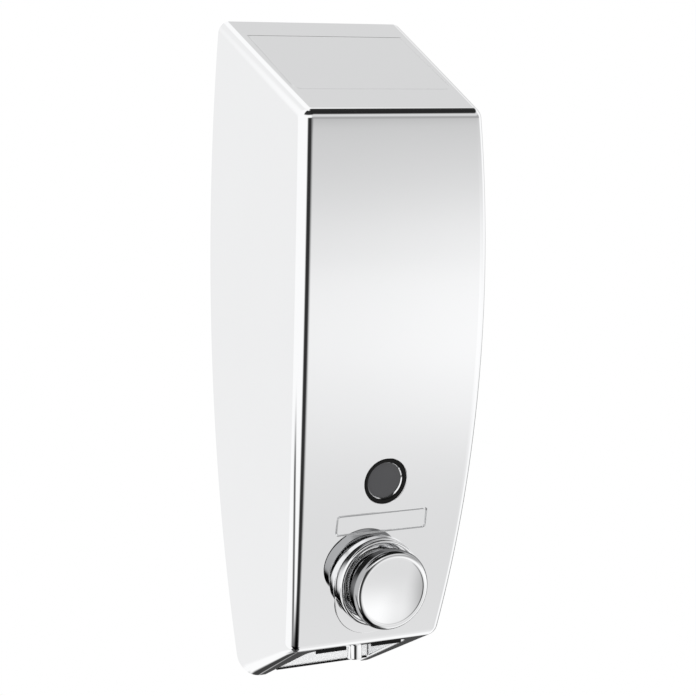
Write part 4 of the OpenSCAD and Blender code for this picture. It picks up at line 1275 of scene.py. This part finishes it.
class DISPENSER_OT_stage(bpy.types.Operator):
    """Set the pale floor, the white studio, the soft lamps and the camera"""
    bl_idname = "dispenser.stage"
    bl_label = "Floor, light and camera"

    def execute(self, context):
        s = context.scene.dispenser_stage
        self.camera(context, s)
        self.floor(context, s)
        self.lamps(context)
        self.studio(context)
        context.scene.view_settings.view_transform = "Standard"
        return {"FINISHED"}

    def camera(self, context, s):
        """Camera that looks at its target from the left of the front and a little above."""
        data = bpy.data.cameras.new("photo_camera")
        data.lens, data.sensor_width, data.clip_end = s.focal, 36.0, 50.0
        cam = bpy.data.objects.new("photo_camera", data)
        look = Vector((math.sin(s.turn) * math.cos(s.pitch), math.cos(s.turn) * math.cos(s.pitch),
                       -math.sin(s.pitch)))
        right = Vector((math.cos(s.turn), -math.sin(s.turn), 0))
        up = right.cross(look)
        eye = Vector((s.target_x, 0, s.target_z)) - look * s.distance
        m = Matrix((right, up, -look)).transposed().to_4x4()
        m.translation = eye
        cam.matrix_world = m
        context.scene.collection.objects.link(cam)
        context.scene.camera = cam

    def floor(self, context, s):
        """Pale round floor that fades out towards its rim and isn't mirrored."""
        points, faces, count = [(0, 0, 0)], [], 72
        reach = [150, 300, 450, 600, 750, 900, 1050, 1200, 1300]
        for r in reach:
            points += [(r * x, r * y, 0) for x, y in circle(count)]
        for k in range(count):
            m = (k + 1) % count
            faces.append([0, 1 + k, 1 + m])
            for j in range(len(reach) - 1):
                a, b = 1 + count * j, 1 + count * (j + 1)
                faces.append([a + k, b + k, b + m, a + m])
        floor = make_piece("pale_floor", points, faces, place=Matrix.Translation((0, 0, -s.floor_drop / MM)))
        tone = tuple(s.floor)
        m, t, shader, where = finish_base("floor_paper", tone, Roughness=0.9, Specular_IOR_Level=0.1)
        t.links.new(two_tone(t, grain(t, where, 12.0), tone, 0.006), shader.inputs["Base Color"])
        far = add_node(t, "ShaderNodeVectorMath", {0: where}, operation="LENGTH").outputs["Value"]
        clear = add_node(t, "ShaderNodeBsdfTransparent").outputs[0]
        fade = span(t, far, 0.55, 1.25)
        mix = add_node(t, "ShaderNodeMixShader", {0: fade, 1: shader.outputs[0], 2: clear})
        t.links.new(mix.outputs[0], t.nodes["Material Output"].inputs["Surface"])
        floor.data.materials.append(m)
        floor.visible_glossy = False

    def lamps(self, context):
        """Soft lamps that aim at the dispenser's middle and aren't mirrored."""
        for name, place, size, power in (("key_softbox", (-0.9, -1.1, 1.2), 1.2, 5.0),
                                         ("fill_softbox", (1.2, -0.7, 0.6), 1.2, 2.5),
                                         ("back_softbox", (0.3, 1.4, 0.9), 1.2, 1.5),
                                         ("low_softbox", (0.0, -0.42, -0.42), 0.2, 1.1)):
            data = bpy.data.lights.new(name, "AREA")
            data.shape, data.size, data.energy = "DISK", size, power
            lamp = bpy.data.objects.new(name, data)
            lamp.location = place
            lamp.rotation_mode = "QUATERNION"
            lamp.rotation_quaternion = (-Vector(place)).to_track_quat("-Z", "Y")
            lamp.visible_glossy = False
            context.scene.collection.objects.link(lamp)

    def studio(self, context):
        """White tent with dark cards, seen by mirror finishes; plain white behind the object."""
        world = bpy.data.worlds.new("white_tent")
        context.scene.world = world
        world.use_nodes = True
        t = world.node_tree
        way = add_node(t, "ShaderNodeTexCoord").outputs["Generated"]
        x, y, z = add_node(t, "ShaderNodeSeparateXYZ", {0: way}).outputs

        def both(a, b):
            return math_node(t, "MULTIPLY", a, b)

        def degrees(operation, a, b=0.0):
            return both(math_node(t, operation, a, b), 180 / math.pi)

        # turn is 0 straight in front and rises to the right, behind is 0 straight behind
        turn = degrees("ARCTAN2", x, both(y, -1.0))
        behind = degrees("ARCTAN2", both(x, -1.0), y)
        rise = degrees("ARCSINE", z)

        def below(value, full, none):
            return span(t, value, full, none, 1.0, 0.0)

        def band(value, low, high, soft):
            return both(span(t, value, low - soft, low + soft), below(value, high - soft, high + soft))

        plain, level = 0.9, self.tent(t, turn, rise, band, both)
        slant = math_node(t, "ADD", turn, both(math_node(t, "ADD", rise, 20.0), 1.2))
        card = both(span(t, turn, -40.0, -25.0), below(turn, -4.0, 24.0))
        cards = (
            # the side of the tent, a little greyer
            (band(turn, -166.0, -138.0, 5.0), 1.0, 0.115),
            # wide grey sheet behind on the right
            (band(turn, 112.0, 174.0, 8.0), band(rise, -30.0, 27.0, 7.0), 0.32),
            # upright dark card left of the middle, with a long soft right edge
            (card, below(rise, 15.0, 24.0), 0.97),
            # dark edge of the ceiling in front, and a grey patch of it behind
            (band(rise, 41.0, 80.0, 5.0), band(turn, -78.0, 117.0, 6.0), 0.97),
            (band(turn, 112.0, 152.0, 6.0), band(rise, 34.0, 52.0, 4.0), 0.31),
            # dark table in front
            (below(rise, -50.0, -42.0), band(turn, -76.0, 14.0, 7.0), 0.92),
            (below(rise, -58.0, -52.0), band(turn, -76.0, 38.0, 6.0), 0.92),
            # dark floor straight below
            (below(rise, -70.0, -65.0), 1.0, 0.92),
            # slanted dark edge on the left
            (band(slant, -99.0, -83.0, 5.0), band(rise, -47.0, -19.0, 5.0), 0.88),
            # dark edges of the table behind
            (below(rise, -53.0, -47.0), band(behind, -46.0, -4.0, 4.0), 0.9),
            (band(behind, -58.0, -40.0, 4.0), band(rise, -33.0, -9.0, 3.0), 0.75),
            (band(behind, -38.0, -13.0, 4.0), band(rise, -48.0, -34.0, 3.0), 0.95),
            (band(behind, -44.0, -20.0, 4.0), band(rise, -25.0, -4.0, 2.0), 0.9),
            (band(behind, -44.0, -20.0, 4.0), band(rise, -33.0, -25.0, 2.0), 0.92),
        )
        for mask, limit, amount in cards:
            level = both(level, math_node(t, "SUBTRACT", 1.0, both(both(mask, limit), amount)))
        path = add_node(t, "ShaderNodeLightPath").outputs
        mirrored = math_node(t, "MAXIMUM", path["Is Glossy Ray"], path["Is Transmission Ray"])
        seen = math_node(t, "MAXIMUM", path["Is Camera Ray"], mirrored)
        shown = self.mix(t, path["Is Camera Ray"], level, 1.0)
        back = t.nodes["Background"]
        back.inputs["Color"].default_value = (1.0, 1.0, 1.0, 1.0)
        t.links.new(self.mix(t, seen, plain, shown), back.inputs["Strength"])

    def mix(self, t, factor, a, b):
        return add_node(t, "ShaderNodeMix", {"Factor": factor, 2: a, 3: b}, data_type="FLOAT").outputs[0]

    def tent(self, t, turn, rise, band, both):
        """Brightness of the tent: white, with a sheet on the right that is shaded from low to high."""
        sheet, reach, white, gain = add_node(t, "ShaderNodeFloatCurve"), 60, 1.08, 0.16
        curve = sheet.mapping.curves[0]
        marks = ((-60, 0.92), (-45, 0.83), (-35, 0.80), (-28, 0.83), (-20, 0.90), (-13, 0.95), (-6, 0.86),
                 (0, 0.74), (5, 0.66), (8, 0.45), (18, 0.44), (28, 0.75), (34, 0.75), (60, 0.75))
        for i, (deg, level) in enumerate(marks):
            u = (deg + reach) / (2 * reach)
            if i < 2:
                curve.points[i].location = (u, level)
            else:
                curve.points.new(u, level)
        sheet.mapping.update()
        t.links.new(span(t, rise, -reach, reach, smooth=False), sheet.inputs["Value"])
        glow = both(span(t, turn, 23.0, 38.0), band(rise, -23.0, 1.0, 7.0))
        right_sheet = math_node(t, "ADD", sheet.outputs[0], both(glow, gain))
        return self.mix(t, band(turn, 6.0, 80.0, 8.0), white, right_sheet)


class DISPENSER_PT_sidebar(bpy.types.Panel):
    """Sizes, colours and building steps of the dispenser"""
    bl_idname = "DISPENSER_PT_sidebar"
    bl_label = "Wall soap dispenser"
    bl_space_type = "VIEW_3D"
    bl_region_type = "UI"
    bl_category = "Dispenser"

    def draw(self, context):
        layout = self.layout
        for step in STEPS:
            layout.operator("dispenser." + step)
        for name in GROUPS:
            group = getattr(context.scene, "dispenser_" + name)
            box = layout.box()
            box.label(text=group.__doc__ or name)
            for key in group.__annotations__:
                box.prop(group, key)


STEPS = ("shell", "lid", "window", "button", "nozzle", "seals", "springs", "pump", "rear", "stage")
GROUPS = {"shell": ShellSizes, "lid": LidSizes, "front": FrontSizes, "pump": PumpSizes,
          "colours": FinishColours, "stage": StageSettings}
CLASSES = (*GROUPS.values(), DISPENSER_OT_shell, DISPENSER_OT_lid, DISPENSER_OT_window,
           DISPENSER_OT_button, DISPENSER_OT_nozzle, DISPENSER_OT_seals, DISPENSER_OT_springs,
           DISPENSER_OT_pump, DISPENSER_OT_rear, DISPENSER_OT_stage, DISPENSER_PT_sidebar)


def register():
    for c in CLASSES:
        bpy.utils.register_class(c)
    for name, group in GROUPS.items():
        setattr(bpy.types.Scene, "dispenser_" + name, PointerProperty(type=group))


def unregister():
    for name in GROUPS:
        delattr(bpy.types.Scene, "dispenser_" + name)
    for c in reversed(CLASSES):
        bpy.utils.unregister_class(c)


def main():
    register()
    for step in STEPS:
        getattr(bpy.ops.dispenser, step)()


if __name__ == "__main__":
    main()
